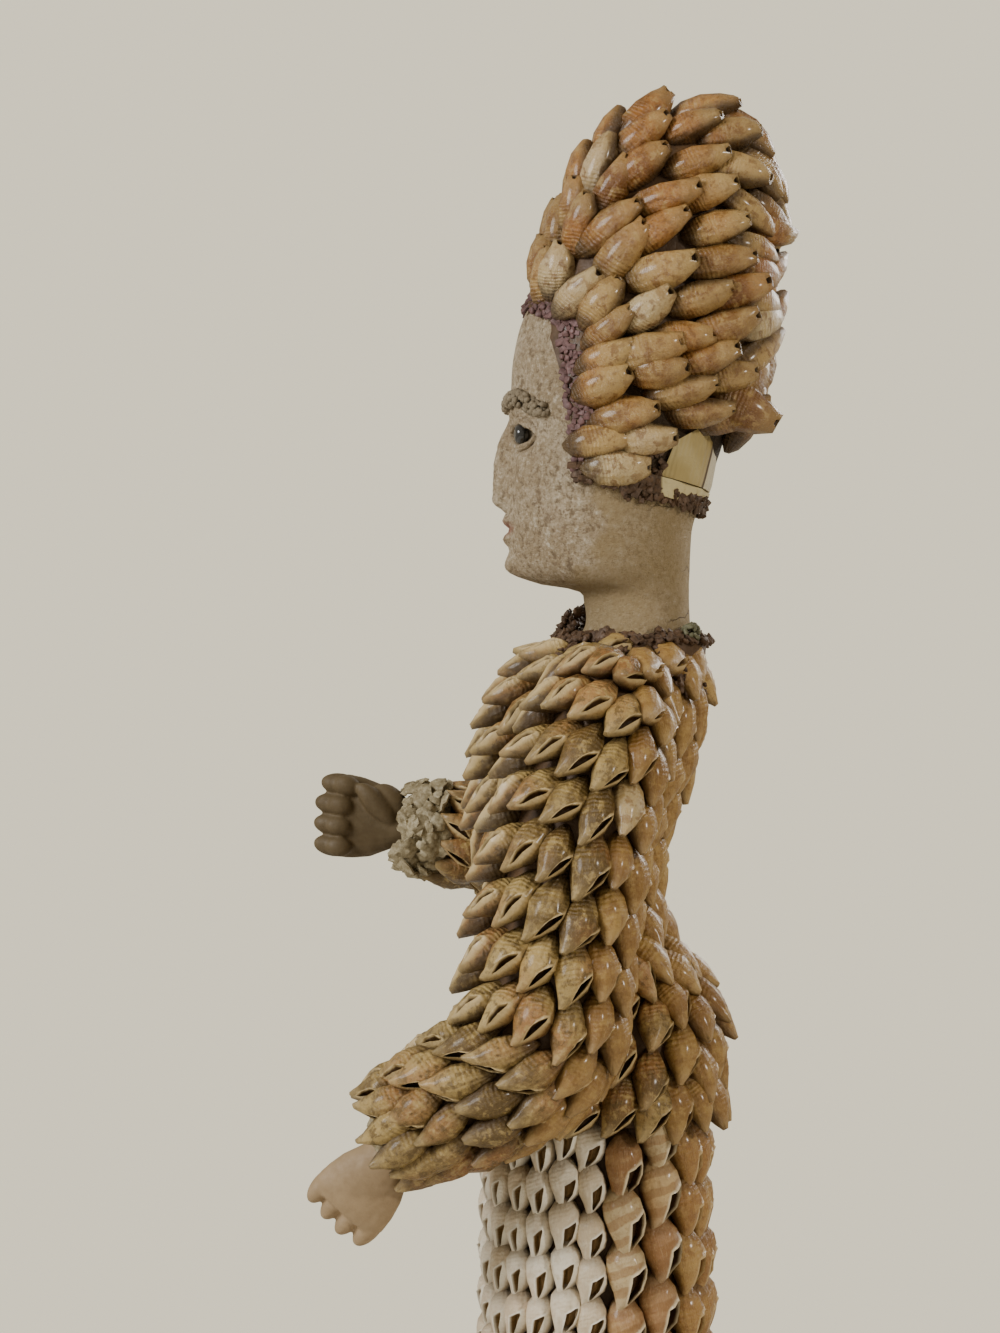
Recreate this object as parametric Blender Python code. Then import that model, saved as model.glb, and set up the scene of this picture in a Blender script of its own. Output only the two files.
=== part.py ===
"""A female figure clad in sea shells, on a low turned base.

The plaster head and hands are bare. The hair, bodice, sleeves and skirt are covered with whelk
and dove shells laid in rows like tiles. Sizes are in millimetres, turned into metres by MM.
The figure faces -Y, its left hand is on +X, and the origin is under the middle of the base.
"""

import math

import bmesh
import bpy
from mathutils import Vector

MM = 0.001
GAP = 0.3

# Heights of the figure, from the floor up
BASE_HEIGHT = 22.0
HEM_Z = BASE_HEIGHT + GAP
PEPLUM_Z = 284.0
NECKLINE_Z = 434.5
CHIN_Z = 452.0
FACE_THIRD = 28.0
NOSE_BASE_Z = CHIN_Z + FACE_THIRD
BROW_Z = CHIN_Z + 2 * FACE_THIRD
EYE_Z = BROW_Z - 8.0
EYE_X = 12.5

# Shells of each garment: rows along it and columns round it
SKIRT_ROWS, SKIRT_COLUMNS = 17, 15
BODICE_ROWS, BODICE_COLUMNS = 10, 16
SLEEVE_COLUMNS = 9
LEFT_SLEEVE_ROWS, RIGHT_SLEEVE_ROWS = 11, 8
HAIR_ROWS, HAIR_COLUMNS = 6, 18
# How far a shell's lip stands out and hangs over the next row, and the shape of the rest of its row
SHELL_LIP, SHELL_DROOP = 3.0, 3.5
SLEEVE_DROOP = 2.5
HAIR_LIP, HAIR_DROOP = 3.6, 5.0
TUCKED_CREST, TUCKED_SEAM = 0.3, -1.2
LIP_SEAM = 0.6
LIP_SHARE = 0.9

# Skirt and bodice outlines: height, middle in Y, half width in X, half depth in Y
SKIRT_SECTIONS = [
    (PEPLUM_Z - GAP, 0.0, 36.5, 33.5),
    (150.0, 0.0, 38.5, 35.5),
    (HEM_Z, 0.0, 45.0, 42.5),
]
BODICE_SECTIONS = [
    (NECKLINE_Z, 11.0, 20.5, 20.5),
    (428.0, 6.5, 32.0, 26.0),
    (417.0, 2.8, 36.5, 31.8),
    (392.0, -3.0, 36.5, 31.5),
    (375.0, -6.0, 33.0, 28.5),
    (360.0, -5.5, 28.0, 25.5),
    (345.0, -2.8, 30.0, 24.3),
    (320.0, 5.0, 38.0, 33.0),
    (300.0, 4.0, 40.0, 35.0),
    (PEPLUM_Z, 3.0, 40.5, 36.0),
]

# Middle line of each sleeve from inside the shoulder to the wrist, with the sleeve's radius
LEFT_SLEEVE = [
    ((35.0, 5.0, 424.0), 14.0),
    ((46.0, 1.0, 406.0), 19.5),
    ((51.0, -7.0, 380.0), 21.5),
    ((52.0, -13.0, 346.0), 22.0),
    ((52.0, -17.0, 317.0), 22.5),
    ((51.0, -31.0, 302.0), 21.5),
    ((49.0, -48.0, 292.5), 19.0),
    ((46.0, -63.0, 284.0), 16.0),
]
RIGHT_SLEEVE = [
    ((-35.0, 5.0, 424.0), 14.0),
    ((-49.0, 4.5, 407.0), 18.5),
    ((-66.0, 4.0, 391.0), 19.5),
    ((-80.0, -1.0, 376.0), 19.5),
    ((-86.0, -14.0, 367.5), 19.0),
    ((-85.0, -30.0, 365.5), 17.5),
    ((-80.0, -50.0, 368.5), 15.0),
]

# Head and neck outline: height, front, widest line, back, half width
HEAD_SECTIONS = [
    (NECKLINE_Z + GAP, -6.0, 12.0, 30.6, 17.5),
    (440.0, -3.0, 13.0, 30.5, 16.5),
    (447.0, -3.5, 13.0, 30.2, 15.5),
    (451.0, -6.0, 12.0, 30.2, 16.5),
    (453.0, -18.0, 10.0, 30.2, 18.5),
    (457.0, -25.5, 8.0, 30.4, 21.5),
    (463.0, -27.0, 8.0, 30.6, 24.0),
    (472.0, -27.5, 8.0, 31.5, 26.5),
    (484.0, -27.5, 8.0, 36.0, 29.0),
    (498.0, -27.5, 8.0, 41.0, 30.5),
    (512.0, -27.0, 8.0, 44.0, 30.5),
    (526.0, -26.0, 8.0, 44.0, 29.0),
    (540.0, -22.0, 8.0, 40.0, 24.5),
    (550.0, -14.0, 9.0, 30.0, 16.0),
    (556.0, -2.0, 10.0, 18.0, 6.0),
]
# Soft forms of the face, each: middle in X, middle in Z, spread in X, spread in Z, height
FACE_FORMS = [
    (EYE_X, EYE_Z, 6.5, 4.2, -3.2),
    (-EYE_X, EYE_Z, 6.5, 4.2, -3.2),
    (0.0, BROW_Z, 16.0, 4.0, 1.3),
    (17.0, EYE_Z - 13.0, 7.0, 6.0, 1.6),
    (-17.0, EYE_Z - 13.0, 7.0, 6.0, 1.6),
    (0.0, NOSE_BASE_Z - 9.5, 8.5, 7.0, 1.8),
    (0.0, NOSE_BASE_Z - 6.8, 6.5, 1.7, 1.7),
    (0.0, NOSE_BASE_Z - 9.9, 7.5, 0.9, -1.0),
    (0.0, NOSE_BASE_Z - 12.8, 5.5, 1.8, 1.6),
    (0.0, NOSE_BASE_Z - 17.0, 7.0, 1.9, -1.3),
    (0.0, CHIN_Z + 6.0, 7.0, 3.8, 2.4),
]
NOSE_ROOT_Z = EYE_Z + 3.0
NOSE_ROOT_REACH, NOSE_REACH = 1.0, 9.5
NOSE_HALF_WIDTH, NOSE_WIDENS = 2.2, 2.6
NOSE_CURVE = 1.2
NOSE_UNDERSIDE = 4.0
HEAD_LEVELS = [
    NECKLINE_Z + GAP, 440.0, 446.0, 450.0, 452.5, 455.5, 459.0, 462.5, 465.0, 467.2, 470.0, 473.2,
    476.0, 478.6, 481.0, 484.0, 488.5, 494.0, 500.0, 505.0, 510.0, 517.0, 527.0, 535.0, 542.0, 550.0, 556.0,
]
HALF_HEAD_ANGLES = [5, 10, 17, 26, 38, 53, 72, 95, 120, 150]
HEAD_ANGLES = [0, *HALF_HEAD_ANGLES, 180, *(360 - angle for angle in reversed(HALF_HEAD_ANGLES))]

# Eyes and eyebrows: sizes of a bead, how deep it sits, and the arch of a brow along the face
EYE_HALF, EYE_SETBACK = (5.4, 3.4, 3.4), 1.2
BROW_POINTS, BROW_SIDES, BROW_RADIUS = 7, 6, 2.3
BROW_START_X, BROW_LENGTH = 4.5, 17.0
BROW_RISE, BROW_ARCH, BROW_FALL = 1.5, 3.0, 2.5

# The hairline, seen from the side: forehead, temple, corner behind the jaw, nape (Y, Z)
HAIRLINE = [(-23.5, 541.5), (-11.0, 534.0), (-6.5, 485.5), (37.4, 475.5)]
BAND_WIDTH = 6.0
BAND_STANDS_OUT = 1.8
HAIR_TOP_Z = 680.0

# Hair seen from the side: row, top (Y, Z), bottom (Y, Z), half width
HAIR_RINGS = [
    (0, (-19.0, 545.0), (1.0, 474.0), 30.0),
    (1, (-12.5, 567.0), (14.0, 466.0), 33.0),
    (2, (-1.5, 590.0), (27.0, 468.0), 34.5),
    (3, (16.0, 603.5), (38.0, 480.0), 33.5),
    (4, (41.0, 603.0), (47.0, 499.0), 28.5),
    (5, (54.0, 587.0), (51.5, 520.0), 17.0),
    (6, (58.0, 567.0), (56.5, 551.0), 4.0),
]

# Nape valves: middle (Y, Z), half sizes, and the outline under the hair that they fill (Y, Z)
VALVE_MIDDLE = (20.0, 500.0)
VALVE_HALF = (29.0, 19.5, 36.0)
NAPE_BEHIND = 90.0
NAPE_OUTLINE = [
    (19.5, 440.0), (19.5, 486.0), (24.0, 497.0), (38.0, 505.0), (58.0, 503.5),
    (NAPE_BEHIND, 500.0), (NAPE_BEHIND, 440.0),
]

# Collar of crumbs: its ring, its pile at the front and the section of the crumbs (out, up)
COLLAR_POINTS = 22
COLLAR_Y, COLLAR_HALF_WIDTH, COLLAR_HALF_DEPTH = 12.0, 20.8, 21.3
COLLAR_PILE, COLLAR_PILE_TURN = 7.5, math.radians(-32)
COLLAR_RIPPLE = 0.8
COLLAR_PROFILE = [(-2.2, 0.0), (-2.0, 3.6), (0.6, 4.6), (2.8, 2.6), (3.4, 0.0)]

# Hands: wrist, fingers and thumb
WRIST_RADIUS = 8.2
WRIST_IN_SLEEVE = 4.0
HAND_SIDES = 12
FINGER_HALF, FINGER_STEP_BACK, FINGER_BELOW = (7.0, 4.1), 1.1, -1.6
THUMB_HALF = (9.5, 3.9, 3.6)
THUMB_TILT = math.radians(-38)
# Crumb frill round a wrist: points round it, how much it gathers, and its section (share of its
# length, share of its radius)
CUFF_POINTS = 16
CUFF_GATHER = 0.88
CUFF_PROFILE = [(0.0, 0.8), (0.55, 1.0), (1.0, 0.78)]
CUFF_WALL = 1.0
ARM_ENDS = {
    "left": {
        "sleeve": LEFT_SLEEVE,
        "wrist_shift": (0.0, 3.0, -3.0),
        "points": (-0.05, -0.66, -0.75),
        "back_faces": (1.0, 0.0, 0.0),
        "wrist": 7.0,
        "palm": 21.0,
        "half_width": 13.2,
        "thumb": (8.0, 1.0, -7.0),
        "cuff": {"start": -2.5, "length": 7.0, "radius": 11.5},
    },
    "right": {
        "sleeve": RIGHT_SLEEVE,
        "wrist_shift": (0.0, 0.0, 1.0),
        "points": (0.05, -0.98, 0.15),
        "back_faces": (-1.0, 0.0, 0.0),
        "wrist": 16.0,
        "palm": 23.0,
        "half_width": 14.6,
        "thumb": (8.5, -6.0, -6.5),
        "cuff": {"start": -2.5, "length": 18.0, "radius": 16.5},
    },
}

# Base disc
BASE_PROFILE = [
    (60.0, 0.0), (62.0, 2.5), (62.0, 9.0), (57.5, 13.0), (55.5, 18.5), (53.0, BASE_HEIGHT),
]
BASE_SIDES = 32

# Red, green, blue and roughness
COLOURS = {
    "shell_white": (0.62, 0.58, 0.50, 0.55),
    "shell_tan": (0.42, 0.30, 0.17, 0.38),
    "shell_russet": (0.45, 0.27, 0.13, 0.30),
    "plaster": (0.50, 0.45, 0.36, 0.75),
    "crumbs_purple": (0.20, 0.12, 0.12, 0.6),
    "crumbs_brown": (0.14, 0.08, 0.05, 0.6),
    "crumbs_pale": (0.50, 0.47, 0.38, 0.7),
    "valve_cream": (0.62, 0.54, 0.33, 0.3),
    "bead_black": (0.02, 0.02, 0.02, 0.15),
    "brow_grit": (0.26, 0.21, 0.14, 0.9),
    "base_wood": (0.12, 0.07, 0.04, 0.5),
}


def clear_scene():
    for obj in list(bpy.data.objects):
        bpy.data.objects.remove(obj)


def material(name):
    """A Principled material with the colour and roughness listed for it."""
    made = bpy.data.materials.get(name)
    if made:
        return made
    red, green, blue, roughness = COLOURS[name]
    made = bpy.data.materials.new(name)
    made.use_nodes = True
    shader = made.node_tree.nodes["Principled BSDF"]
    shader.inputs["Base Color"].default_value = (red, green, blue, 1.0)
    shader.inputs["Roughness"].default_value = roughness
    shader.inputs["Metallic"].default_value = 0.0
    return made


def smooth_rows(rows, at):
    """Values at a place along rows of (place, value, ...), on a smooth curve through the rows."""
    if rows[0][0] > rows[-1][0]:
        rows = rows[::-1]
    at = min(max(at, rows[0][0]), rows[-1][0])
    low = max(i for i in range(len(rows) - 1) if rows[i][0] <= at or i == 0)
    before, start, end, after = (rows[min(max(low + k, 0), len(rows) - 1)] for k in (-1, 0, 1, 2))
    span = end[0] - start[0]
    share = (at - start[0]) / span
    values = []
    for b, s, e, a in zip(before[1:], start[1:], end[1:], after[1:]):
        slope_in = (e - b) / (end[0] - before[0]) * span
        slope_out = (a - s) / (after[0] - start[0]) * span
        cube, square = share**3, share**2
        values.append(
            (2 * cube - 3 * square + 1) * s
            + (cube - 2 * square + share) * slope_in
            + (3 * square - 2 * cube) * e
            + (cube - square) * slope_out
        )
    return values


def finish_mesh(name, bm, look, smooth_angle=40):
    """Turns a bmesh in millimetres into an object in metres with its own material."""
    bmesh.ops.scale(bm, vec=(MM, MM, MM), verts=bm.verts)
    bmesh.ops.triangulate(bm, faces=bm.faces)
    bmesh.ops.recalc_face_normals(bm, faces=bm.faces)
    mesh = bpy.data.meshes.new(name)
    bm.to_mesh(mesh)
    bm.free()
    mesh.shade_smooth()
    mesh.set_sharp_from_angle(angle=math.radians(smooth_angle))
    obj = bpy.data.objects.new(name, mesh)
    bpy.context.scene.collection.objects.link(obj)
    mesh.materials.append(material(look))
    return obj


def skin_rings(bm, rings):
    """Faces between neighbouring rings of points, and a flat cap at each end."""
    made = [[bm.verts.new(point) for point in ring] for ring in rings]
    for one, two in zip(made, made[1:]):
        for i in range(len(one)):
            j = (i + 1) % len(one)
            bm.faces.new((one[i], one[j], two[j], two[i]))
    for end in (made[0], made[-1]):
        bm.faces.new(end)


def skin_closed_loops(bm, loops):
    """Faces of a ring-shaped form, from sections that follow each other round it."""
    made = [[bm.verts.new(point) for point in loop] for loop in loops]
    for one, two in zip(made, made[1:] + made[:1]):
        for k in range(len(one)):
            n = (k + 1) % len(one)
            bm.faces.new((one[k], one[n], two[n], two[k]))


def as_cutter(obj):
    obj.hide_render = True
    obj.display_type = "WIRE"
    return obj


def boolean(obj, other, operation):
    """A live Boolean on obj with a hidden tool."""
    step = obj.modifiers.new(f"{operation.lower()} {other.name}", "BOOLEAN")
    step.operation = operation
    step.solver = "EXACT"
    step.object = as_cutter(other)
    return obj


def prism(name, outline, reach=90.0):
    """A block that runs across the figure, with its outline given in (Y, Z)."""
    bm = bmesh.new()
    sides = [[(x, y, z) for y, z in outline] for x in (-reach, reach)]
    skin_rings(bm, sides)
    return finish_mesh(name, bm, "plaster")


def half_space(name, side, low_x):
    """A block on one side of the figure, from low_x outwards."""
    low, high = sorted((side * low_x, side * 60.0))
    bm = bmesh.new()
    skin_rings(bm, [[(x, -60, 400), (x, 90, 400), (x, 90, 600), (x, -60, 600)] for x in (low, high)])
    return finish_mesh(name, bm, "plaster")


def ellipsoid(name, middle, half, look, around=12, levels=8):
    bm = bmesh.new()
    bmesh.ops.create_uvsphere(bm, u_segments=around, v_segments=levels, radius=1.0)
    bmesh.ops.scale(bm, vec=half, verts=bm.verts)
    bmesh.ops.translate(bm, vec=middle, verts=bm.verts)
    return finish_mesh(name, bm, look, 60)


# Rows of shells


def on_surface(section, share, turn, out=0.0, along=0.0):
    """A point of a garment, moved out of its surface and on towards its free end."""

    def place(at):
        middle, across, upright = section(at)
        return middle + math.sin(turn) * across + math.cos(turn) * upright

    middle, across, upright = section(share)
    around = math.cos(turn) * across - math.sin(turn) * upright
    step = 0.01
    flow = (place(min(share + step, 1.0)) - place(max(share - step, 0.0))).normalized()
    point = place(share)
    normal = around.cross(flow).normalized()
    if normal.dot(point - middle) < 0:
        normal.negate()
    return point + normal * out + flow * along


def shell_ring(section, share, columns, crest, valley, droop=0.0):
    """One ring of a shell row, with its crests at the shells' middles and its valleys at the seams."""
    ring = []
    for i in range(2 * columns):
        turn = math.pi * i / columns
        if i % 2:
            ring.append(on_surface(section, share, turn, valley))
        else:
            ring.append(on_surface(section, share, turn, crest, droop))
    return ring


def shell_rows(section, rows, columns, lip=SHELL_LIP, droop=SHELL_DROOP):
    """A closed form that steps like rows of shells: each row starts tucked in and ends in a lip."""
    bm = bmesh.new()
    rings = []
    for row in range(rows):
        last = row == rows - 1
        crest, seam = (TUCKED_CREST, TUCKED_SEAM) if row else (0.0, 0.0)
        rings.append(shell_ring(section, row / rows, columns, crest, seam))
        end = 1.0 if last else (row + LIP_SHARE) / rows
        rings.append(shell_ring(section, end, columns, lip, LIP_SEAM, 0.0 if last else droop))
    skin_rings(bm, rings)
    return bm


def upright_section(sections):
    """Rings of a garment that hangs straight down, from its top to its hem."""
    top, bottom = sections[0][0], sections[-1][0]

    def section(share):
        z = top + (bottom - top) * share
        middle_y, half_width, half_depth = smooth_rows(sections, z)
        return (
            Vector((0.0, middle_y, z)),
            Vector((half_width, 0.0, 0.0)),
            Vector((0.0, half_depth, 0.0)),
        )

    return section


def sleeve_section(stations):
    """Rings square to a sleeve's middle line."""
    count = len(stations) - 1
    rows = [(i / count, *place, radius) for i, (place, radius) in enumerate(stations)]

    def middle(share):
        return Vector(smooth_rows(rows, share)[:3])

    def section(share):
        step = 0.02
        flow = (middle(min(share + step, 1.0)) - middle(max(share - step, 0.0))).normalized()
        radius = smooth_rows(rows, share)[3]
        across = Vector((0.35, 1.0, 0.0)).cross(flow).normalized()
        upright = flow.cross(across)
        return middle(share), across * radius, upright * radius

    return section


def hair_section(share):
    """Rings of the hair, from the hairline to the middle of its back."""
    rows = [(row, *top, *bottom, half) for row, top, bottom, half in HAIR_RINGS]
    top_y, top_z, bottom_y, bottom_z, half = smooth_rows(rows, share * HAIR_RINGS[-1][0])
    top, bottom = Vector((0.0, top_y, top_z)), Vector((0.0, bottom_y, bottom_z))
    return (top + bottom) / 2, Vector((half, 0.0, 0.0)), (top - bottom) / 2


def make_skirt():
    rows = shell_rows(upright_section(SKIRT_SECTIONS), SKIRT_ROWS, SKIRT_COLUMNS)
    return finish_mesh("skirt", rows, "shell_white", 25)


def make_bodice():
    """The bodice with its peplum."""
    rows = shell_rows(upright_section(BODICE_SECTIONS), BODICE_ROWS, BODICE_COLUMNS)
    return finish_mesh("bodice", rows, "shell_tan", 25)


def body_space(name):
    """A smooth form just larger than the bodice."""
    section = upright_section(BODICE_SECTIONS)
    clear_of_lips = SHELL_LIP + 3 * GAP
    levels, around = 12, 24
    rings = []
    for level in range(levels + 1):
        share = level / levels
        lift = {0: 3 * GAP, levels: -3 * GAP}.get(level, 0.0)
        turns = [2 * math.pi * k / around for k in range(around)]
        rings.append([
            on_surface(section, share, turn, clear_of_lips) + Vector((0.0, 0.0, lift)) for turn in turns
        ])
    bm = bmesh.new()
    skin_rings(bm, rings)
    return finish_mesh(name, bm, "shell_tan")


def make_sleeve(name, stations, rows):
    """A sleeve, hollowed where it lies against the body."""
    shells = shell_rows(sleeve_section(stations), rows, SLEEVE_COLUMNS, droop=SLEEVE_DROOP)
    sleeve = finish_mesh(name, shells, "shell_tan", 25)
    return boolean(sleeve, body_space(f"{name}_body_cutter"), "DIFFERENCE")


# Head


def face_form(x, z):
    """How far the face's soft forms and nose stand out of the plain head at one place."""
    out = 0.0
    for middle_x, middle_z, spread_x, spread_z, height in FACE_FORMS:
        out += height * math.exp(-(((x - middle_x) / spread_x) ** 2) - ((z - middle_z) / spread_z) ** 2)
    if z < NOSE_ROOT_Z + 6.0:
        down = min(max((NOSE_ROOT_Z - z) / (NOSE_ROOT_Z - NOSE_BASE_Z), 0.0), 1.0)
        tip = min(max((z - NOSE_BASE_Z + 1.5) / NOSE_UNDERSIDE, 0.0), 1.0)
        ridge = NOSE_ROOT_REACH + (NOSE_REACH - NOSE_ROOT_REACH) * down**NOSE_CURVE
        half = NOSE_HALF_WIDTH + NOSE_WIDENS * down
        out += ridge * tip * math.exp(-((x / half) ** 2))
    return out


def head_point(turn, z, out=0.0):
    """A point of the head: turn 0 is the front, and out moves it off the surface."""
    front, wide, back, half = smooth_rows(HEAD_SECTIONS, z)
    half += out
    reach = (wide - front if math.cos(turn) > 0 else back - wide) + out
    x = half * math.sin(turn)
    y = wide - reach * math.cos(turn)
    if math.cos(turn) > 0:
        y -= face_form(x, z) * min(1.0, 3.0 * math.cos(turn))
    return Vector((x, y, z))


def face_y(x, z):
    """The face's surface in Y at a place seen from the front."""
    front, wide, _, half = smooth_rows(HEAD_SECTIONS, z)
    return wide - (wide - front) * math.sqrt(max(0.0, 1 - (x / half) ** 2)) - face_form(x, z)


def head_form(name, look, out=0.0):
    """The whole head and neck as one closed form, out millimetres off its surface."""
    bm = bmesh.new()
    turns = [math.radians(a) for a in HEAD_ANGLES]
    rings = [[head_point(t, z, out) for t in turns] for z in HEAD_LEVELS]
    skin_rings(bm, rings)
    return finish_mesh(name, bm, look, 50)


def crossing(one, two):
    """Where two lines of the side view meet, each given by a point and a direction."""
    (start, along), (other, other_along) = one, two
    turn = along.x * other_along.y - along.y * other_along.x
    gap = other - start
    return start + along * ((gap.x * other_along.y - gap.y * other_along.x) / turn)


def hair_region(name, inside):
    """All that lies above and behind the hairline, inside millimetres in from it, as one block."""
    lines = []
    for start, end in zip(HAIRLINE, HAIRLINE[1:]):
        start, end = Vector(start), Vector(end)
        along = (end - start).normalized()
        lines.append((start + Vector((-along.y, along.x)) * inside, along))
    corners = [crossing(one, two) for one, two in zip(lines, lines[1:])]
    front = corners[0] - lines[0][1] * 60
    back = corners[-1] + lines[-1][1] * 100
    outline = [front, *corners, back, Vector((back.x, HAIR_TOP_Z)), Vector((front.x, HAIR_TOP_Z))]
    return prism(name, [tuple(point) for point in outline])


def make_head():
    head = head_form("head", "plaster")
    return boolean(head, hair_region("hair_space", 0.0), "DIFFERENCE")


def make_hairline_band():
    """The crumb band between face, neck and shells."""
    band = head_form("hairline_band", "crumbs_purple", BAND_STANDS_OUT)
    boolean(band, hair_region("band_space", GAP), "INTERSECT")
    return boolean(band, hair_region("band_back", BAND_WIDTH), "DIFFERENCE")


def make_headdress():
    rows = shell_rows(hair_section, HAIR_ROWS, HAIR_COLUMNS, HAIR_LIP, HAIR_DROOP)
    hair = finish_mesh("headdress", rows, "shell_russet", 25)
    boolean(hair, hair_region("hair_limit", BAND_WIDTH + GAP), "INTERSECT")
    return boolean(hair, prism("nape_cutter", NAPE_OUTLINE), "DIFFERENCE")


def make_nape_valve(name, side):
    """One of the two smooth valves that meet down the back of the head."""
    valve = ellipsoid(name, (0.0, *VALVE_MIDDLE), VALVE_HALF, "valve_cream", 24, 14)
    inset = [(y + (0.0 if y == NAPE_BEHIND else GAP), z - GAP) for y, z in NAPE_OUTLINE]
    boolean(valve, prism(f"{name}_outline", inset), "INTERSECT")
    boolean(valve, hair_region(f"{name}_floor", BAND_WIDTH + GAP), "INTERSECT")
    return boolean(valve, half_space(f"{name}_half", side, GAP / 2), "INTERSECT")


def make_eye(name, side):
    """A bead set in its socket, of which only the front shows."""
    x = side * EYE_X
    middle = (x, face_y(x, EYE_Z) + EYE_SETBACK, EYE_Z)
    eye = ellipsoid(name, middle, EYE_HALF, "bead_black", 10, 8)
    return boolean(eye, head_form(f"{name}_socket", "plaster", GAP), "DIFFERENCE")


def make_eyebrow(name, side):
    """An arch of grit laid on the brow."""
    bm = bmesh.new()
    rings = []
    for i in range(BROW_POINTS):
        share = i / (BROW_POINTS - 1)
        x = BROW_START_X + BROW_LENGTH * share
        arch = BROW_ARCH * math.sin(math.pi * min(share * 1.15, 1.0))
        z = BROW_Z + BROW_RISE + arch - BROW_FALL * share
        size = BROW_RADIUS * (0.75 + 0.35 * math.sin(math.pi * share))
        middle = Vector((side * x, face_y(x, z), z))
        turns = [2 * math.pi * k / BROW_SIDES for k in range(BROW_SIDES)]
        rings.append([middle + Vector((0.0, math.cos(t) * size, math.sin(t) * size)) for t in turns])
    skin_rings(bm, rings)
    brow = finish_mesh(name, bm, "brow_grit", 50)
    return boolean(brow, head_form(f"{name}_bed", "plaster", GAP), "DIFFERENCE")


def make_collar():
    """Crumbs of dark shell round the neckline, piled up at the front on the right."""
    loops = []
    for i in range(COLLAR_POINTS):
        turn = 2 * math.pi * i / COLLAR_POINTS
        pile = COLLAR_PILE * max(0.0, math.cos(turn - COLLAR_PILE_TURN)) ** 6
        lift = pile + COLLAR_RIPPLE * (i % 2)
        loops.append([
            (
                (COLLAR_HALF_WIDTH + off) * math.sin(turn),
                COLLAR_Y - (COLLAR_HALF_DEPTH + off) * math.cos(turn),
                NECKLINE_Z + GAP + (up + lift if up else 0.0),
            )
            for off, up in COLLAR_PROFILE
        ])
    bm = bmesh.new()
    skin_closed_loops(bm, loops)
    return finish_mesh("collar_crumbs", bm, "crumbs_brown", 30)


# Hands


def hand_frame(wrist, along, back_of_hand):
    along = Vector(along).normalized()
    back = Vector(back_of_hand)
    back = (back - along * back.dot(along)).normalized()
    return Vector(wrist), along, back, along.cross(back)


def hand_blob(name, frame, place, half, tilt=0.0):
    """A rounded lump of the hand. place and half are along, across and out of the back of the hand."""
    wrist, along, back, across = frame
    turned_along = along * math.cos(tilt) + across * math.sin(tilt)
    turned_across = across * math.cos(tilt) - along * math.sin(tilt)
    bm = bmesh.new()
    bmesh.ops.create_uvsphere(bm, u_segments=8, v_segments=6, radius=1.0)
    middle = wrist + along * place[0] + across * place[1] + back * place[2]
    for vert in bm.verts:
        x, y, z = vert.co
        vert.co = middle + turned_along * z * half[0] + turned_across * x * half[1] + back * y * half[2]
    return finish_mesh(name, bm, "plaster", 60)


def hand_ring(frame, at, half_width, half_thickness):
    middle, along, back, across = frame
    middle = middle + along * at
    turns = [2 * math.pi * k / HAND_SIDES for k in range(HAND_SIDES)]
    return [middle + across * math.sin(t) * half_width + back * math.cos(t) * half_thickness for t in turns]


def make_hand(name, frame, wrist_length, palm_length, half_width, thumb_place):
    """A plaster hand: a round wrist, a flat palm, four short fingertips and a thumb."""
    stations = [
        (-WRIST_IN_SLEEVE, WRIST_RADIUS, WRIST_RADIUS),
        (wrist_length, WRIST_RADIUS, WRIST_RADIUS * 0.95),
        (wrist_length + palm_length * 0.35, half_width * 0.88, 6.4),
        (wrist_length + palm_length * 0.8, half_width, 5.6),
        (wrist_length + palm_length, half_width * 0.9, 4.2),
    ]
    bm = bmesh.new()
    skin_rings(bm, [hand_ring(frame, *station) for station in stations])
    hand = finish_mesh(name, bm, "plaster", 60)
    pitch = half_width * 2 / 4
    finger_length, finger_thickness = FINGER_HALF
    for finger in range(4):
        offset = (finger - 1.5) * pitch * 0.97
        reach = wrist_length + palm_length - abs(finger - 1.2) * FINGER_STEP_BACK
        half = (finger_length, pitch * 0.54, finger_thickness)
        lump = hand_blob(f"{name}_finger_{finger + 1}", frame, (reach, offset, FINGER_BELOW), half)
        boolean(hand, lump, "UNION")
    along, across, out = thumb_place
    thumb_at = (wrist_length + along, across, out)
    thumb = hand_blob(f"{name}_thumb", frame, thumb_at, THUMB_HALF, THUMB_TILT)
    return boolean(hand, thumb, "UNION")


def wrist_space(name, frame, wrist_length):
    """The room that a wrist needs in its sleeve."""
    radius = WRIST_RADIUS + GAP
    ends = (-WRIST_IN_SLEEVE - GAP, wrist_length)
    bm = bmesh.new()
    skin_rings(bm, [hand_ring(frame, at, radius, radius) for at in ends])
    return finish_mesh(name, bm, "plaster")


def make_cuff(name, frame, start, length, radius, sleeve_frame):
    """A frilled ring of pale crumbs round a wrist, cut off where it meets the sleeve's end."""
    wrist, along, back, across = frame
    hole = WRIST_RADIUS + 2 * GAP
    loops = []
    for i in range(CUFF_POINTS):
        turn = 2 * math.pi * i / CUFF_POINTS
        out = across * math.sin(turn) + back * math.cos(turn)
        gather = 1.0 if i % 2 else CUFF_GATHER
        rim = [(share, max(radius * size * gather, hole + CUFF_WALL)) for share, size in CUFF_PROFILE]
        section = [(0.0, hole), *rim, (1.0, hole)]
        loops.append([wrist + along * (start + length * share) + out * size for share, size in section])
    bm = bmesh.new()
    skin_closed_loops(bm, loops)
    cuff = finish_mesh(name, bm, "crumbs_pale", 30)
    bm = bmesh.new()
    skin_rings(bm, [hand_ring(sleeve_frame, at, 45.0, 45.0) for at in (-30.0, GAP)])
    return boolean(cuff, finish_mesh(f"{name}_sleeve_side", bm, "crumbs_pale"), "DIFFERENCE")


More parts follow.
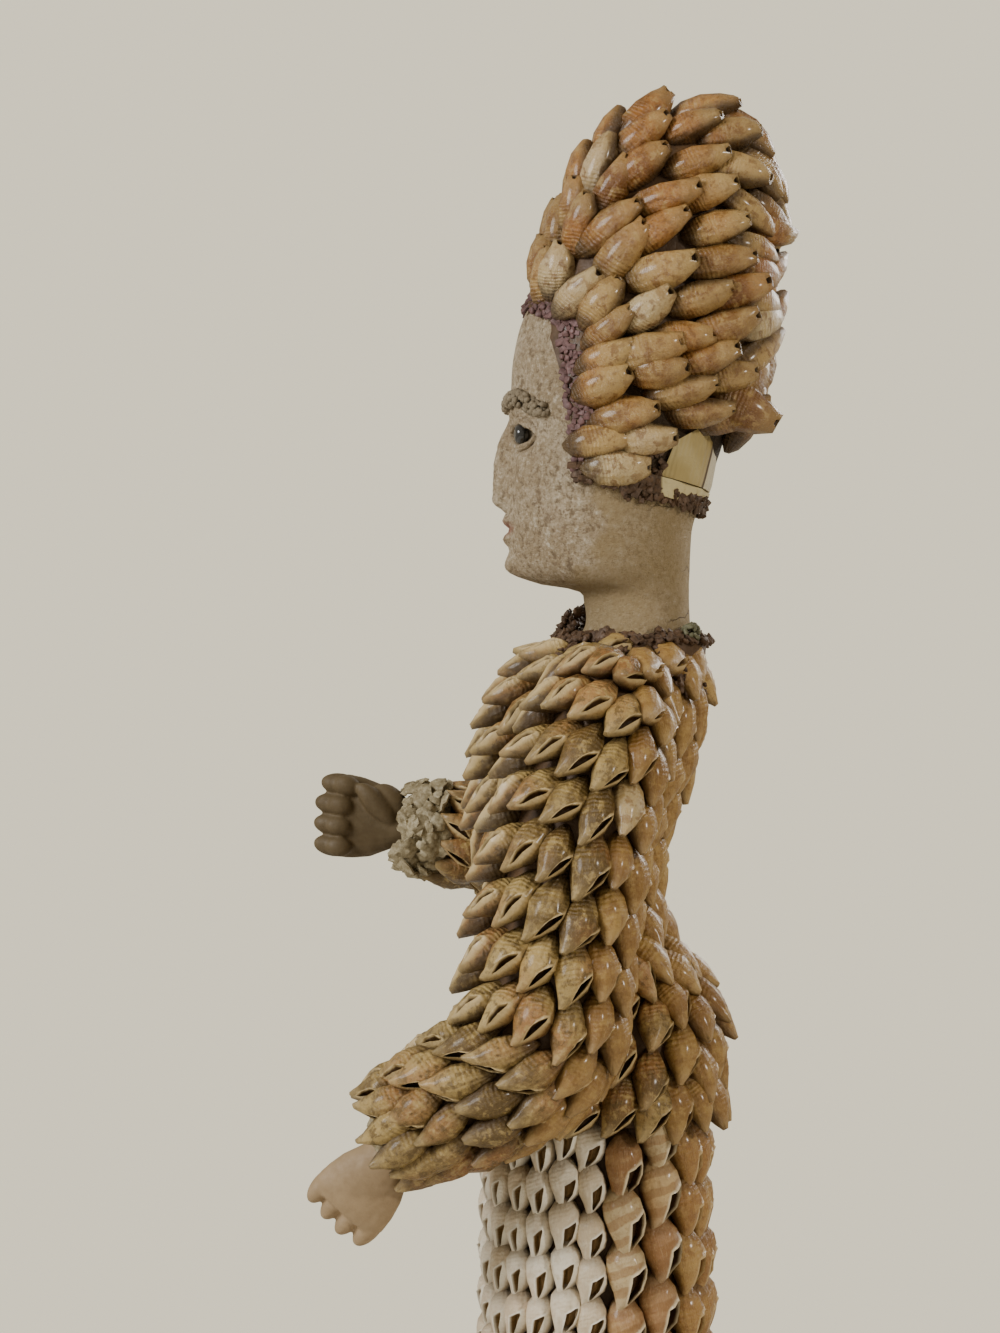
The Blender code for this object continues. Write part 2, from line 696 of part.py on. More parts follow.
def make_base():
    bm = bmesh.new()
    rings = []
    for radius, z in BASE_PROFILE:
        turns = [2 * math.pi * k / BASE_SIDES for k in range(BASE_SIDES)]
        rings.append([(radius * math.cos(t), radius * math.sin(t), z) for t in turns])
    skin_rings(bm, rings)
    return finish_mesh("base", bm, "base_wood", 30)


def sleeve_end(stations):
    """Where a sleeve ends and which way it points there."""
    section = sleeve_section(stations)
    end, before = section(1.0)[0], section(0.98)[0]
    return end, (end - before).normalized()


def make_arm(side, rows):
    """A sleeve, and the hand that comes out of a hollow in its end, through a frill."""
    arm = ARM_ENDS[side]
    sleeve = make_sleeve(f"{side}_sleeve", arm["sleeve"], rows)
    end, flow = sleeve_end(arm["sleeve"])
    hand = hand_frame(end + Vector(arm["wrist_shift"]), arm["points"], arm["back_faces"])
    make_hand(f"{side}_hand", hand, arm["wrist"], arm["palm"], arm["half_width"], arm["thumb"])
    make_cuff(f"{side}_cuff", hand, **arm["cuff"], sleeve_frame=hand_frame(end, flow, arm["back_faces"]))
    boolean(sleeve, wrist_space(f"{side}_wrist_space", hand, arm["wrist"]), "DIFFERENCE")


def main():
    clear_scene()
    make_base()
    make_skirt()
    make_bodice()
    make_arm("left", LEFT_SLEEVE_ROWS)
    make_arm("right", RIGHT_SLEEVE_ROWS)
    make_head()
    make_collar()
    make_hairline_band()
    make_headdress()
    for side, name in ((1, "left"), (-1, "right")):
        make_nape_valve(f"{name}_nape_valve", side)
        make_eye(f"{name}_eye", side)
        make_eyebrow(f"{name}_eyebrow", side)


main()
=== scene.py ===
"""Looks of a standing female figure clad in sea shells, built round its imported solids.

Sizes are in millimetres until a piece is settled, which turns them into metres. The figure faces -Y and
its left hand is on +X. A shell's own axes are X across it, Y out of the garment and Z on to its tip.
"""

import math
import random

import bmesh
import bpy
from mathutils import Matrix, Vector


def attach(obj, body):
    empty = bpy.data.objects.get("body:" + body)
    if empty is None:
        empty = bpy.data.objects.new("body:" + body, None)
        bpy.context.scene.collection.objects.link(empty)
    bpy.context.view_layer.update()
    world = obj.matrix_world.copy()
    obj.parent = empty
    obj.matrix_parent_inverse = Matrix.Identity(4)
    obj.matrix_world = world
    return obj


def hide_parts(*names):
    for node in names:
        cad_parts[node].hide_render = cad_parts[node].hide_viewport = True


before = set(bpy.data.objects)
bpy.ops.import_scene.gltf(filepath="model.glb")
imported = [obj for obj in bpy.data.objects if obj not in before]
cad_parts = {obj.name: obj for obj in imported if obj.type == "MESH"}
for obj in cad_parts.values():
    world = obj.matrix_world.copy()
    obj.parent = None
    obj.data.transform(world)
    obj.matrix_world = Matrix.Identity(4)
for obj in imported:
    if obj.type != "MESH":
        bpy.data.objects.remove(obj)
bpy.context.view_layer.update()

MM = 0.001
SEED = 71

# Heights of the figure
BASE_HEIGHT = 22.0
HEM_Z = 22.3
PEPLUM_Z = 284.0
NECKLINE_Z = 434.5
CHIN_Z = 452.0
FACE_THIRD = 28.0
NOSE_BASE_Z = CHIN_Z + FACE_THIRD
MOUTH_Z = NOSE_BASE_Z - 9.5
BROW_Z = CHIN_Z + 2 * FACE_THIRD
EYE_Z = BROW_Z - 8.0
EYE_X = 12.5

# Outlines of the solids: height, middle in Y, half width in X, half depth in Y
SKIRT_SECTIONS = [
    (283.7, 0.0, 36.5, 33.5),
    (150.0, 0.0, 38.5, 35.5),
    (HEM_Z, 0.0, 45.0, 42.5),
]
BODICE_SECTIONS = [
    (NECKLINE_Z, 11.0, 20.5, 20.5),
    (428.0, 6.5, 32.0, 26.0),
    (417.0, 2.8, 36.5, 31.8),
    (392.0, -3.0, 36.5, 31.5),
    (375.0, -6.0, 33.0, 28.5),
    (360.0, -5.5, 28.0, 25.5),
    (345.0, -2.8, 30.0, 24.3),
    (320.0, 5.0, 38.0, 33.0),
    (300.0, 4.0, 40.0, 35.0),
    (PEPLUM_Z, 3.0, 40.5, 36.0),
]
LEFT_SLEEVE = [
    ((35.0, 5.0, 424.0), 14.0),
    ((46.0, 1.0, 406.0), 19.5),
    ((51.0, -7.0, 380.0), 21.5),
    ((52.0, -13.0, 346.0), 22.0),
    ((52.0, -17.0, 317.0), 22.5),
    ((51.0, -31.0, 302.0), 21.5),
    ((49.0, -48.0, 292.5), 19.0),
    ((46.0, -63.0, 284.0), 16.0),
]
RIGHT_SLEEVE = [
    ((-35.0, 5.0, 424.0), 14.0),
    ((-49.0, 4.5, 407.0), 18.5),
    ((-66.0, 4.0, 391.0), 19.5),
    ((-80.0, -1.0, 376.0), 19.5),
    ((-86.0, -14.0, 367.5), 19.0),
    ((-85.0, -30.0, 365.5), 17.5),
    ((-80.0, -50.0, 368.5), 15.0),
]
# Head and neck: height, front, back, half width
HEAD_SECTIONS = [
    (434.8, -6.0, 30.6, 17.5),
    (440.0, -3.0, 30.5, 16.5),
    (447.0, -3.5, 30.2, 15.5),
    (451.0, -6.0, 30.2, 16.5),
    (453.0, -18.0, 30.2, 18.5),
    (457.0, -25.5, 30.4, 21.5),
    (463.0, -27.0, 30.6, 24.0),
    (472.0, -27.5, 31.5, 26.5),
    (484.0, -27.5, 36.0, 29.0),
    (498.0, -27.5, 41.0, 30.5),
    (512.0, -27.0, 44.0, 30.5),
    (526.0, -26.0, 44.0, 29.0),
    (540.0, -22.0, 40.0, 24.5),
    (550.0, -14.0, 30.0, 16.0),
    (556.0, -2.0, 18.0, 6.0),
]
# The hairline seen from the side: forehead, temple, corner behind the jaw, nape (Y, Z)
HAIRLINE = [(-23.5, 541.5), (-11.0, 534.0), (-6.5, 485.5), (37.4, 475.5)]
# Height below which the hairline's crumbs are brown
HAIRLINE_TURNS_BROWN = 489.0
# Hair seen from the side: row, top (Y, Z), bottom (Y, Z), half width
HAIR_RINGS = [
    (0, (-19.0, 545.0), (1.0, 474.0), 30.0),
    (1, (-12.5, 567.0), (14.0, 466.0), 33.0),
    (2, (-1.5, 590.0), (27.0, 468.0), 34.5),
    (3, (16.0, 603.5), (38.0, 480.0), 33.5),
    (4, (41.0, 603.0), (47.0, 499.0), 28.5),
    (5, (54.0, 587.0), (51.5, 520.0), 17.0),
    (6, (58.0, 567.0), (56.5, 551.0), 4.0),
]

HAIR_DRIFT_DEG = 50.0
# Columns of hair shells, rows of them, and their pitch along a column
HAIR_COLUMNS, HAIR_ROWS, HAIR_PITCH = 37, 8, 15.4
# First row's distance from the hairline, the share of the hair's length where the rows end, and how
# far behind the hairline the glue starts
FIRST_ROW_RUN, ROWS_END_SHARE, GLUE_STARTS = 8.0, 0.93, 3.4
# Tries at filling the gaps between the rows, and how deep in the hair they are made
GAP_TRIES, GAP_DEPTH = 1500, 14.0
# Two hair shells crowd each other when they are closer than this along them and beside them
CROWDED_ALONG, CROWDED_BESIDE = 10.0, 6.9
# One shell hangs loose at the back of the hair
HANGING_SHELL, HANGING_OUT, HANGING_FLOW = (22.0, 45.0, 508.0), (1.0, 0.3, -0.2), (0.0, 0.85, -0.5)
# Middle of the gritty lump on the neckline at the back
NAPE_BEAD = Vector((14.0, 30.0, 437.0))
# Middles of the lowest hair shells behind the jaw (Y, Z), and whether each is a cream one
HAIR_LOW_ROWS = [(5.5, 488.0, True), (0.5, 496.5, False), (13.5, 497.0, True)]
# A shell with this tone is all cream
CREAM_TONE = -1.0
# Skirt columns: front half and back half in degrees, their numbers, and how far the hem stands free
SKIRT_FRONT_DEG, SKIRT_BACK_DEG = 93.0, 42.0
SKIRT_FRONT_COLUMNS, SKIRT_BACK_COLUMNS, SKIRT_HEM = 13, 5, 8.0
# Pitch up a column and width against the model: white, both banded columns of a side, amber
WHITE_FIT, BANDED_FIT, AMBER_FIT = (13.3, 0.98), ((16.6, 1.32), (17.2, 1.3)), (16.4, 1.22)
# Columns of whelks round the bodice and the sleeves, and their pitch
BODICE_COLUMNS, LEFT_SLEEVE_COLUMNS, RIGHT_SLEEVE_COLUMNS = 21, 13, 11
BODICE_PITCH, SLEEVE_PITCH = 16.4, 16.2
# Lower edge of the hair over the nape (Y, Z)
NAPE_EDGE = [(19.5, 486.0), (24.0, 497.0), (38.0, 505.0), (90.0, 503.0)]

# Hands: wrist, fingers and thumb
WRIST_RADIUS = 8.2
ARM_ENDS = {
    "left": {
        "sleeve": LEFT_SLEEVE,
        "wrist_shift": (0.0, 3.0, -3.0),
        "points": (-0.05, -0.66, -0.75),
        "back_faces": (1.0, 0.0, 0.0),
        "wrist": 7.0,
        "palm": 21.0,
        "half_width": 13.2,
        "thumb": (8.0, 1.0, -7.0),
        "cuff": (-2.0, 6.0, 10.5),
        "frill": (0.2, 0.7),
    },
    "right": {
        "sleeve": RIGHT_SLEEVE,
        "wrist_shift": (0.0, 0.0, 1.0),
        "points": (0.05, -0.98, 0.15),
        "back_faces": (-1.0, 0.0, 0.0),
        "wrist": 16.0,
        "palm": 23.0,
        "half_width": 14.6,
        "thumb": (8.5, -6.0, -6.5),
        "cuff": (-1.0, 15.0, 14.5),
        "frill": (0.34, 1.2),
    },
}
FINGER_LENGTH, FINGER_THICKNESS, FINGER_STEP_BACK, FINGER_BELOW = 7.0, 4.1, 1.1, -1.6
THUMB_HALF, THUMB_TILT_DEG = (9.5, 3.9, 3.6), -38.0

# Collar of crumbs, eyebrows, and the turned base (radius, height)
COLLAR_Y, COLLAR_HALF_WIDTH, COLLAR_HALF_DEPTH = 12.0, 20.8, 21.3
COLLAR_PILE, COLLAR_PILE_TURN_DEG = 7.5, -32.0
COLLAR_CRUMBS, PILE_CRUMBS, SHOULDER_CRUMBS = 520, 180, 620
BROW_START_X, BROW_LENGTH, BROW_RADIUS, BROW_GRAINS = 4.5, 18.5, 2.8, 230
# Step in the plaster between face and neck, and the growth edge of the nape valves (slope in Y by Z)
STEP_Y = -0.5
VALVE_EDGE_SLOPE, VALVE_EDGE_Y = 0.27, -97.7
# Pressed out of the plain head: places across, height, move in Y, reach. Eye socket, cheek and brow
SIDE_PRESSES = [
    ((10.0, 12.5, 15.0), EYE_Z - 0.5, 3.4, 7.5),
    ((16.0,), EYE_Z - 15.0, -1.6, 11.0),
    ((6.0, 11.0, 16.0), BROW_Z + 1.0, -1.2, 6.0),
]
# Upper lip, lower lip, the line between them, and the chin
FRONT_PRESSES = [
    ((-3.0, 0.0, 3.0), NOSE_BASE_Z - 6.4, -2.2, 3.4),
    ((-2.5, 0.0, 2.5), NOSE_BASE_Z - 12.6, -2.2, 3.6),
    ((-6.0, -3.0, 0.0, 3.0, 6.0), NOSE_BASE_Z - 9.6, 1.0, 1.8),
    ((-3.0, 0.0, 3.0), CHIN_Z + 6.0, -2.6, 8.0),
]
BEAD_RADIUS, BEAD_SUNK = 3.5, 0.8
# Eyelids: rise over the eye, thickness and reach to each side
EYELIDS = [(4.5, 1.6, 7.8), (-3.9, 1.15, 6.8)]
BASE_PROFILE = [
    (59.6, 0.0), (60.6, 0.4), (61.7, 1.8), (62.0, 3.4), (62.0, 7.8), (61.6, 9.4), (60.4, 10.6),
    (59.0, 11.1), (58.6, 11.4), (58.4, 12.2), (57.4, 13.4), (56.2, 15.4), (55.9, 17.6), (55.8, 18.4),
    (54.6, 19.4), (53.8, 20.6), (53.2, 21.7), (52.2, BASE_HEIGHT),
]


# Shells: rings from the apex to the tip (along, shift across, half width, half thickness)
SHELL_SIDES, DOVE_SIDES = 8, 10
TAN_WHELK = [
    (0.0, 0.5, 0.8, 0.8), (3.2, 0.3, 3.0, 2.9), (7.0, 0.1, 5.1, 4.7), (10.8, 0.1, 5.8, 5.1),
    (14.4, 0.0, 4.7, 4.2), (17.8, -1.3, 2.5, 2.4), (20.3, -2.6, 0.9, 0.9),
]
DOG_WHELK = [
    (0.0, 0.3, 0.9, 0.9), (2.3, 0.2, 3.3, 3.1), (5.2, 0.1, 5.3, 4.8), (8.2, 0.3, 5.6, 5.0),
    (10.8, 0.5, 5.3, 4.7), (13.2, 0.4, 4.3, 3.8), (15.5, -0.9, 2.5, 2.5), (17.6, -2.6, 0.8, 0.9),
]
DOVE_SHELL = [
    (0.0, 0.0, 1.0, 1.0), (2.8, 0.0, 3.5, 3.3), (8.0, 0.0, 5.8, 5.3), (14.4, 0.0, 6.0, 5.5),
    (20.6, 0.2, 4.6, 4.2), (25.8, 0.9, 2.6, 2.3),
]
# Inner side of each mouth: a bent line down the front of the shell, through (across, along) places
TAN_COLUMELLA = ((4.8, 10.0), (2.0, 13.2), (-0.9, 18.9))
DOG_COLUMELLA = ((5.0, 7.4), (0.5, 10.0), (-1.0, 16.6))
# A mouth's reach round the shell in degrees, its depth, and how thick the lips are
MOUTH_FROM_DEG, MOUTH_TO_DEG, MOUTH_DEPTH = -60, 73, 3.0
TAN_LIP, DOG_LIP = 0.34, 0.6


# Colours
# The second colour darkens a shell's apex as grime, and its underside as painted shade
SHELL_CREAM, GRIME_AND_PAINTED_SHADE = (0.60, 0.48, 0.27), (0.065, 0.036, 0.012)
PLASTER_LIGHT, PLASTER_DARK = (0.88, 0.75, 0.55), (0.42, 0.31, 0.18)
PIT_BROWN, CRUST_PALE, STAIN_BROWN = (0.22, 0.15, 0.08), (0.86, 0.77, 0.60), (0.38, 0.27, 0.17)
NECK_BROWN, CRACK_BROWN, LIP_RED = (0.42, 0.30, 0.14), (0.09, 0.055, 0.025), (0.30, 0.085, 0.055)
GLUE_BROWN, GLITTER, DUST = (0.06, 0.035, 0.014), (0.75, 0.72, 0.62), (0.30, 0.26, 0.19)
VALVE_RIM, VALVE_LINE = (0.62, 0.54, 0.36), (0.07, 0.035, 0.012)
# Shells: pale, deep, blush, mouth and lip colours, then banding, mottling, gloss and coat. The mouth
# colour is the inside's own brown, made darker as painted shade.
SHELL_LOOKS = {
    "white whelk": (
        (0.97, 0.88, 0.70), (0.68, 0.54, 0.35), (0.80, 0.63, 0.43), (0.25, 0.15, 0.05),
        (0.95, 0.88, 0.72), 0.05, 0.4, 0.0, 0.1,
    ),
    "banded whelk": (
        (0.66, 0.46, 0.22), (0.30, 0.14, 0.04), (0.46, 0.25, 0.11), (0.06, 0.025, 0.006),
        (0.86, 0.72, 0.47), 0.55, 0.3, 0.1, 0.3,
    ),
    "amber whelk": (
        (0.54, 0.34, 0.11), (0.29, 0.13, 0.028), (0.42, 0.22, 0.06), (0.19, 0.08, 0.014),
        (0.62, 0.44, 0.20), 0.1, 0.6, 0.12, 0.35,
    ),
    "amber slender whelk": (
        (0.50, 0.32, 0.095), (0.24, 0.115, 0.02), (0.36, 0.2, 0.055), (0.10, 0.042, 0.008),
        (0.58, 0.41, 0.19), 0.1, 0.7, 0.08, 0.3,
    ),
    "tan whelk": (
        (0.53, 0.37, 0.13), (0.12, 0.068, 0.012), (0.40, 0.18, 0.055), (0.055, 0.024, 0.004),
        (0.62, 0.46, 0.22), 0.1, 0.75, 0.08, 0.22,
    ),
    "dove shell": (
        (0.49, 0.32, 0.115), (0.16, 0.058, 0.006), (0.37, 0.145, 0.025), (0.03, 0.014, 0.004),
        (0.50, 0.34, 0.13), 0.0, 0.65, 0.16, 0.35,
    ),
}
# Grainy stuff: light and dark colours, grain scale, spread, relief depth, roughness, and a coat on some
GRAINY_LOOKS = {
    "dark glue": ((0.12, 0.06, 0.02), (0.05, 0.025, 0.008), 300.0, 0.7, 0.0008, 0.6),
    "hand plaster": ((0.40, 0.28, 0.155), (0.27, 0.18, 0.09), 240.0, 0.5, 0.0002, 0.6),
    # The right hand's plaster: a darker copy of the left hand's, painted shade with some dust
    "dusty hand plaster in painted shade": ((0.13, 0.09, 0.04), (0.07, 0.045, 0.016), 240.0, 0.5, 0.0002, 0.7),
    "mauve crumbs": ((0.26, 0.135, 0.13), (0.09, 0.045, 0.04), 500.0, 0.8, 0.0005, 0.6),
    "brown crumbs": ((0.17, 0.095, 0.05), (0.05, 0.025, 0.01), 500.0, 0.8, 0.0005, 0.6),
    "pale crumbs": ((0.68, 0.60, 0.40), (0.20, 0.15, 0.07), 500.0, 0.8, 0.0005, 0.7),
    "green grit": ((0.22, 0.21, 0.12), (0.09, 0.085, 0.04), 600.0, 0.8, 0.0005, 0.6),
    "black bead": ((0.02, 0.02, 0.02), (0.01, 0.01, 0.01), 300.0, 0.5, 0.00005, 0.15, 0.8),
    "grey grit": ((0.34, 0.28, 0.19), (0.16, 0.12, 0.07), 700.0, 0.8, 0.0006, 0.8),
    "pale floor": ((0.62, 0.60, 0.55), (0.56, 0.54, 0.49), 220.0, 0.4, 0.0001, 0.8),
}
ROUGHNESS_SPREAD = 0.12
GLITTER_SCALE = 900.0
# How strongly cracks show on the face, against the neck
FACE_CRACKS = 0.12
# Sizes of the crumbs' models
CHIP_HALF_SIZES = ((1.4, 1.0, 0.6), (1.0, 0.9, 0.8))
GRAIN_RADIUS, FLAKE_RADIUS = 1.05, 2.6
# The studio, in metres: camera, the wall's colour, the light from all round, and the lamps
CAMERA_PLACE, CAMERA_LENS, FLOOR_RADIUS = (0.95, -0.0304, 0.4265), 80.0, 0.85
WALL, ROOM_LIGHT, ROOM_STRENGTH = (1.10, 1.005, 0.76), (0.64, 0.57, 0.44), 0.62
LAMPS_AIM_AT = (0.0, 0.0, 0.40)
# Lamps: name, place, size, power, colour
LAMPS = [
    ("window", (0.75, -1.2, 1.05), 0.7, 21.0, (0.97, 0.98, 1.0)),
    ("lamp", (0.9, 1.0, 0.9), 0.12, 7.0, (1.0, 0.95, 0.88)),
    ("back", (-0.9, 0.8, 0.9), 0.5, 6.0, (1.0, 0.98, 0.95)),
]


# Working on meshes


def deselect():
    if bpy.context.object and bpy.context.object.mode != "OBJECT":
        bpy.ops.object.mode_set(mode="OBJECT")
    bpy.ops.object.select_all(action="DESELECT")


def activate(obj):
    deselect()
    obj.select_set(True)
    bpy.context.view_layer.objects.active = obj


def edit(obj):
    activate(obj)
    bpy.ops.object.mode_set(mode="EDIT")
    return bmesh.from_edit_mesh(obj.data)


def choose(obj, bm, kind, test):
    """Selects just the vertices, edges or faces of an edited mesh that pass a test."""
    bpy.ops.mesh.select_all(action="DESELECT")
    bpy.ops.mesh.select_mode(type={"verts": "VERT", "edges": "EDGE", "faces": "FACE"}[kind])
    for element in getattr(bm, kind):
        if test(element):
            element.select_set(True)
    bm.select_flush_mode()
    bmesh.update_edit_mesh(obj.data)


def modifier(obj, kind, **settings):
    """Adds a modifier and applies it."""
    made = obj.modifiers.new(kind.lower(), kind)
    for key, value in settings.items():
        setattr(made, key, value)
    activate(obj)
    bpy.ops.object.modifier_apply(modifier=made.name)
    return obj


def join(name, parts):
    deselect()
    for part in parts:
        part.select_set(True)
    bpy.context.view_layer.objects.active = parts[0]
    bpy.ops.object.join()
    parts[0].name = name
    parts[0].data.name = name
    return parts[0]


def place_circle(middle, across, upright, sides, twist):
    """A circle stretched between two directions, added to the mesh that is being edited."""
    facing = across.cross(upright).normalized()
    turned = Matrix((across.normalized(), upright.normalized(), facing)).transposed()
    bpy.ops.mesh.primitive_circle_add(
        vertices=sides, radius=1.0, location=middle,
        rotation=(turned @ Matrix.Rotation(twist, 3, "Z")).to_euler(),
    )
    bpy.ops.transform.resize(
        value=(across.length, upright.length, 1.0), orient_type="LOCAL", orient_matrix=turned,
        orient_matrix_type="LOCAL", center_override=middle,
    )


def loft(name, rings, sides, twist=0.0):
    """A closed form through rings, each given by its middle and two half directions."""
    deselect()
    bpy.ops.mesh.primitive_circle_add(vertices=sides)
    obj = bpy.context.object
    obj.name = name
    bpy.ops.object.mode_set(mode="EDIT")
    bpy.ops.mesh.delete(type="VERT")
    for ring in rings:
        place_circle(*ring, sides, twist)
    bm = bmesh.from_edit_mesh(obj.data)
    for i in range(len(rings) - 1):
        bm.verts.ensure_lookup_table()
        wanted = set(bm.verts[i * sides:(i + 2) * sides])
        choose(obj, bm, "edges", lambda e: len(e.link_faces) < 2 and all(v in wanted for v in e.verts))
        bpy.ops.mesh.bridge_edge_loops()
        bm = bmesh.from_edit_mesh(obj.data)
    for first in (0, (len(rings) - 1) * sides):
        bm.verts.ensure_lookup_table()
        wanted = set(bm.verts[first:first + sides])
        choose(obj, bm, "verts", lambda v: v in wanted)
        bpy.ops.mesh.edge_face_add()
        bm = bmesh.from_edit_mesh(obj.data)
    bpy.ops.mesh.select_all(action="SELECT")
    bpy.ops.mesh.normals_make_consistent(inside=False)
    deselect()
    return obj


def settle(obj, material, slot, *nodes, angle=50):
    """Turns a finished piece into metres, shades it and puts it in the figure."""
    activate(obj)
    obj.data.transform(Matrix.Scale(MM, 4) @ obj.matrix_world)
    obj.matrix_world = Matrix.Identity(4)
    bpy.ops.object.shade_smooth_by_angle(angle=math.radians(angle))
    obj.data.materials.clear()
    obj.data.materials.append(material)
    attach(obj, "root")
    if nodes:
        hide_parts(*nodes)
    return obj


# Outlines of the garments


def smooth_rows(rows, at):
    """Values at a place along rows of (place, value, ...), on a smooth curve through the rows."""
    if rows[0][0] > rows[-1][0]:
        rows = rows[::-1]
    at = min(max(at, rows[0][0]), rows[-1][0])
    low = max(i for i in range(len(rows) - 1) if rows[i][0] <= at or i == 0)
    before, start, end, after = (rows[min(max(low + k, 0), len(rows) - 1)] for k in (-1, 0, 1, 2))
    span = end[0] - start[0]
    share = (at - start[0]) / span
    values = []
    for b, s, e, a in zip(before[1:], start[1:], end[1:], after[1:]):
        slope_in = (e - b) / (end[0] - before[0]) * span
        slope_out = (a - s) / (after[0] - start[0]) * span
        cube, square = share**3, share**2
        values.append(
            (2 * cube - 3 * square + 1) * s
            + (cube - 2 * square + share) * slope_in
            + (3 * square - 2 * cube) * e
            + (cube - square) * slope_out
        )
    return values


def surface_frame(section, share, turn, drift=0.0):
    """A point of a garment, the way out of it and the way on towards its free end.

    A column of shells that drifts round the garment does so by drift over the garment's length.
    """

    def place(at):
        middle, across, upright = section(at)
        turned = turn + drift * (at - share)
        return middle + math.sin(turned) * across + math.cos(turned) * upright

    middle, across, upright = section(share)
    around = math.cos(turn) * across - math.sin(turn) * upright
    step = 0.01
    flow = (place(min(share + step, 1.0)) - place(max(share - step, 0.0))).normalized()
    out = around.cross(flow).normalized()
    if out.dot(place(share) - middle) < 0:
        out.negate()
    return place(share), out, flow


def upright_section(sections):
    top, bottom = sections[0][0], sections[-1][0]

    def section(share):
        z = top + (bottom - top) * share
        middle_y, half_width, half_depth = smooth_rows(sections, z)
        return Vector((0.0, middle_y, z)), Vector((half_width, 0.0, 0.0)), Vector((0.0, half_depth, 0.0))

    return section


def sleeve_section(stations):
    count = len(stations) - 1
    rows = [(i / count, *place, radius) for i, (place, radius) in enumerate(stations)]

    def middle(share):
        return Vector(smooth_rows(rows, share)[:3])

    def section(share):
        step = 0.02
        flow = (middle(min(share + step, 1.0)) - middle(max(share - step, 0.0))).normalized()
        radius = smooth_rows(rows, share)[3]
        across = Vector((0.35, 1.0, 0.0)).cross(flow).normalized()
        upright = flow.cross(across)
        return middle(share), across * radius, upright * radius

    return section


def hair_section(share):
    rows = [(row, *top, *bottom, half) for row, top, bottom, half in HAIR_RINGS]
    top_y, top_z, bottom_y, bottom_z, half = smooth_rows(rows, share * HAIR_RINGS[-1][0])
    top, bottom = Vector((0.0, top_y, top_z)), Vector((0.0, bottom_y, bottom_z))
    return (top + bottom) / 2, Vector((half, 0.0, 0.0)), (top - bottom) / 2


skirt_section = upright_section(SKIRT_SECTIONS)
bodice_section = upright_section(BODICE_SECTIONS)
left_sleeve_section = sleeve_section(LEFT_SLEEVE)
right_sleeve_section = sleeve_section(RIGHT_SLEEVE)


def inside_bodice(point, share_of_size):
    z = min(max(point.z, PEPLUM_Z), NECKLINE_Z)
    middle_y, half_width, half_depth = smooth_rows(BODICE_SECTIONS, z)
    return math.hypot(point.x / half_width, (point.y - middle_y) / half_depth) < share_of_size


def inside_sleeve(point, section, share_of_size):
    steps = 40
    for i in range(steps + 1):
        middle, across, _ = section(i / steps)
        if (point - middle).length < across.length * share_of_size:
            return True
    return False


# Materials


class Tree:
    """A node tree that is built up in short calls."""

    def __init__(self, tree):
        self.tree = tree

    def add(self, kind, settings=None, **sockets):
        node = self.tree.nodes.new(kind)
        for key, value in (settings or {}).items():
            setattr(node, key, value)
        for key, value in sockets.items():
            self.feed(node.inputs[key.replace("_", " ")], value)
        return node

    def feed(self, socket, value):
        if isinstance(value, bpy.types.NodeSocket):
            self.tree.links.new(value, socket)
        elif hasattr(value, "__len__") and len(value) == 3 and socket.type == "RGBA":
            socket.default_value = (*value, 1.0)
        else:
            socket.default_value = value

    def maths(self, operation, one, two=0.0, clamp=False):
        node = self.add("ShaderNodeMath", {"operation": operation, "use_clamp": clamp})
        self.feed(node.inputs[0], one)
        self.feed(node.inputs[1], two)
        return node.outputs[0]

    def plus(self, one, two, clamp=False):
        return self.maths("ADD", one, two, clamp)

    def minus(self, one, two):
        return self.maths("SUBTRACT", one, two)

    def times(self, one, two):
        return self.maths("MULTIPLY", one, two)

    def wave(self, value, pace):
        return self.maths("SINE", self.times(value, pace))

    def surface(self, shader, colour, roughness, relief, strength, depth, coat=0.0):
        """Feeds a shader its colour, roughness, relief and clear coat."""
        bump = self.add("ShaderNodeBump", Strength=strength, Distance=depth, Height=relief)
        self.feed(shader.inputs["Base Color"], colour)
        self.feed(shader.inputs["Roughness"], roughness)
        self.feed(shader.inputs["Normal"], bump.outputs[0])
        shader.inputs["Coat Weight"].default_value = coat

    def mix(self, share, one, two):
        node = self.add("ShaderNodeMix", {"data_type": "RGBA"})
        self.feed(node.inputs[0], share)
        self.feed(node.inputs[6], one)
        self.feed(node.inputs[7], two)
        return node.outputs[2]

    def remap(self, value, low, high, to_low=0.0, to_high=1.0):
        node = self.add("ShaderNodeMapRange", {"interpolation_type": "SMOOTHSTEP"})
        for index, number in enumerate((value, low, high, to_low, to_high)):
            self.feed(node.inputs[index], number)
        return node.outputs[0]

    def noise(self, vector, scale, detail=3.0, roughness=0.55, distortion=0.0):
        return self.add(
            "ShaderNodeTexNoise", Vector=vector, Scale=scale, Detail=detail, Roughness=roughness,
            Distortion=distortion,
        ).outputs["Fac"]

    def cells(self, vector, scale, feature="F1"):
        settings = {"feature": feature}
        return self.add("ShaderNodeTexVoronoi", settings, Vector=vector, Scale=scale).outputs[0]

    def attribute(self, name, output="Fac"):
        return self.add("ShaderNodeAttribute", {"attribute_name": name}).outputs[output]

    def place(self):
        return self.add("ShaderNodeTexCoord").outputs["Object"]

    def axes(self, vector):
        return self.add("ShaderNodeSeparateXYZ", Vector=vector).outputs

    def squeeze(self, vector, scale):
        """A pattern's coordinates, scaled by different amounts along X, Y and Z."""
        node = self.add("ShaderNodeMapping", Vector=vector)
        node.inputs["Scale"].default_value = scale
        return node.outputs[0]


def new_group(name, inputs, outputs):
    """A node group with named sockets, its tree and its inner input sockets."""
    group = bpy.data.node_groups.new(name, "ShaderNodeTree")
    for socket, kind in inputs:
        group.interface.new_socket(socket, in_out="INPUT", socket_type=kind)
    for socket, kind in outputs:
        group.interface.new_socket(socket, in_out="OUTPUT", socket_type=kind)
    tree = Tree(group)
    return group, tree, tree.add("NodeGroupInput").outputs, tree.add("NodeGroupOutput").inputs


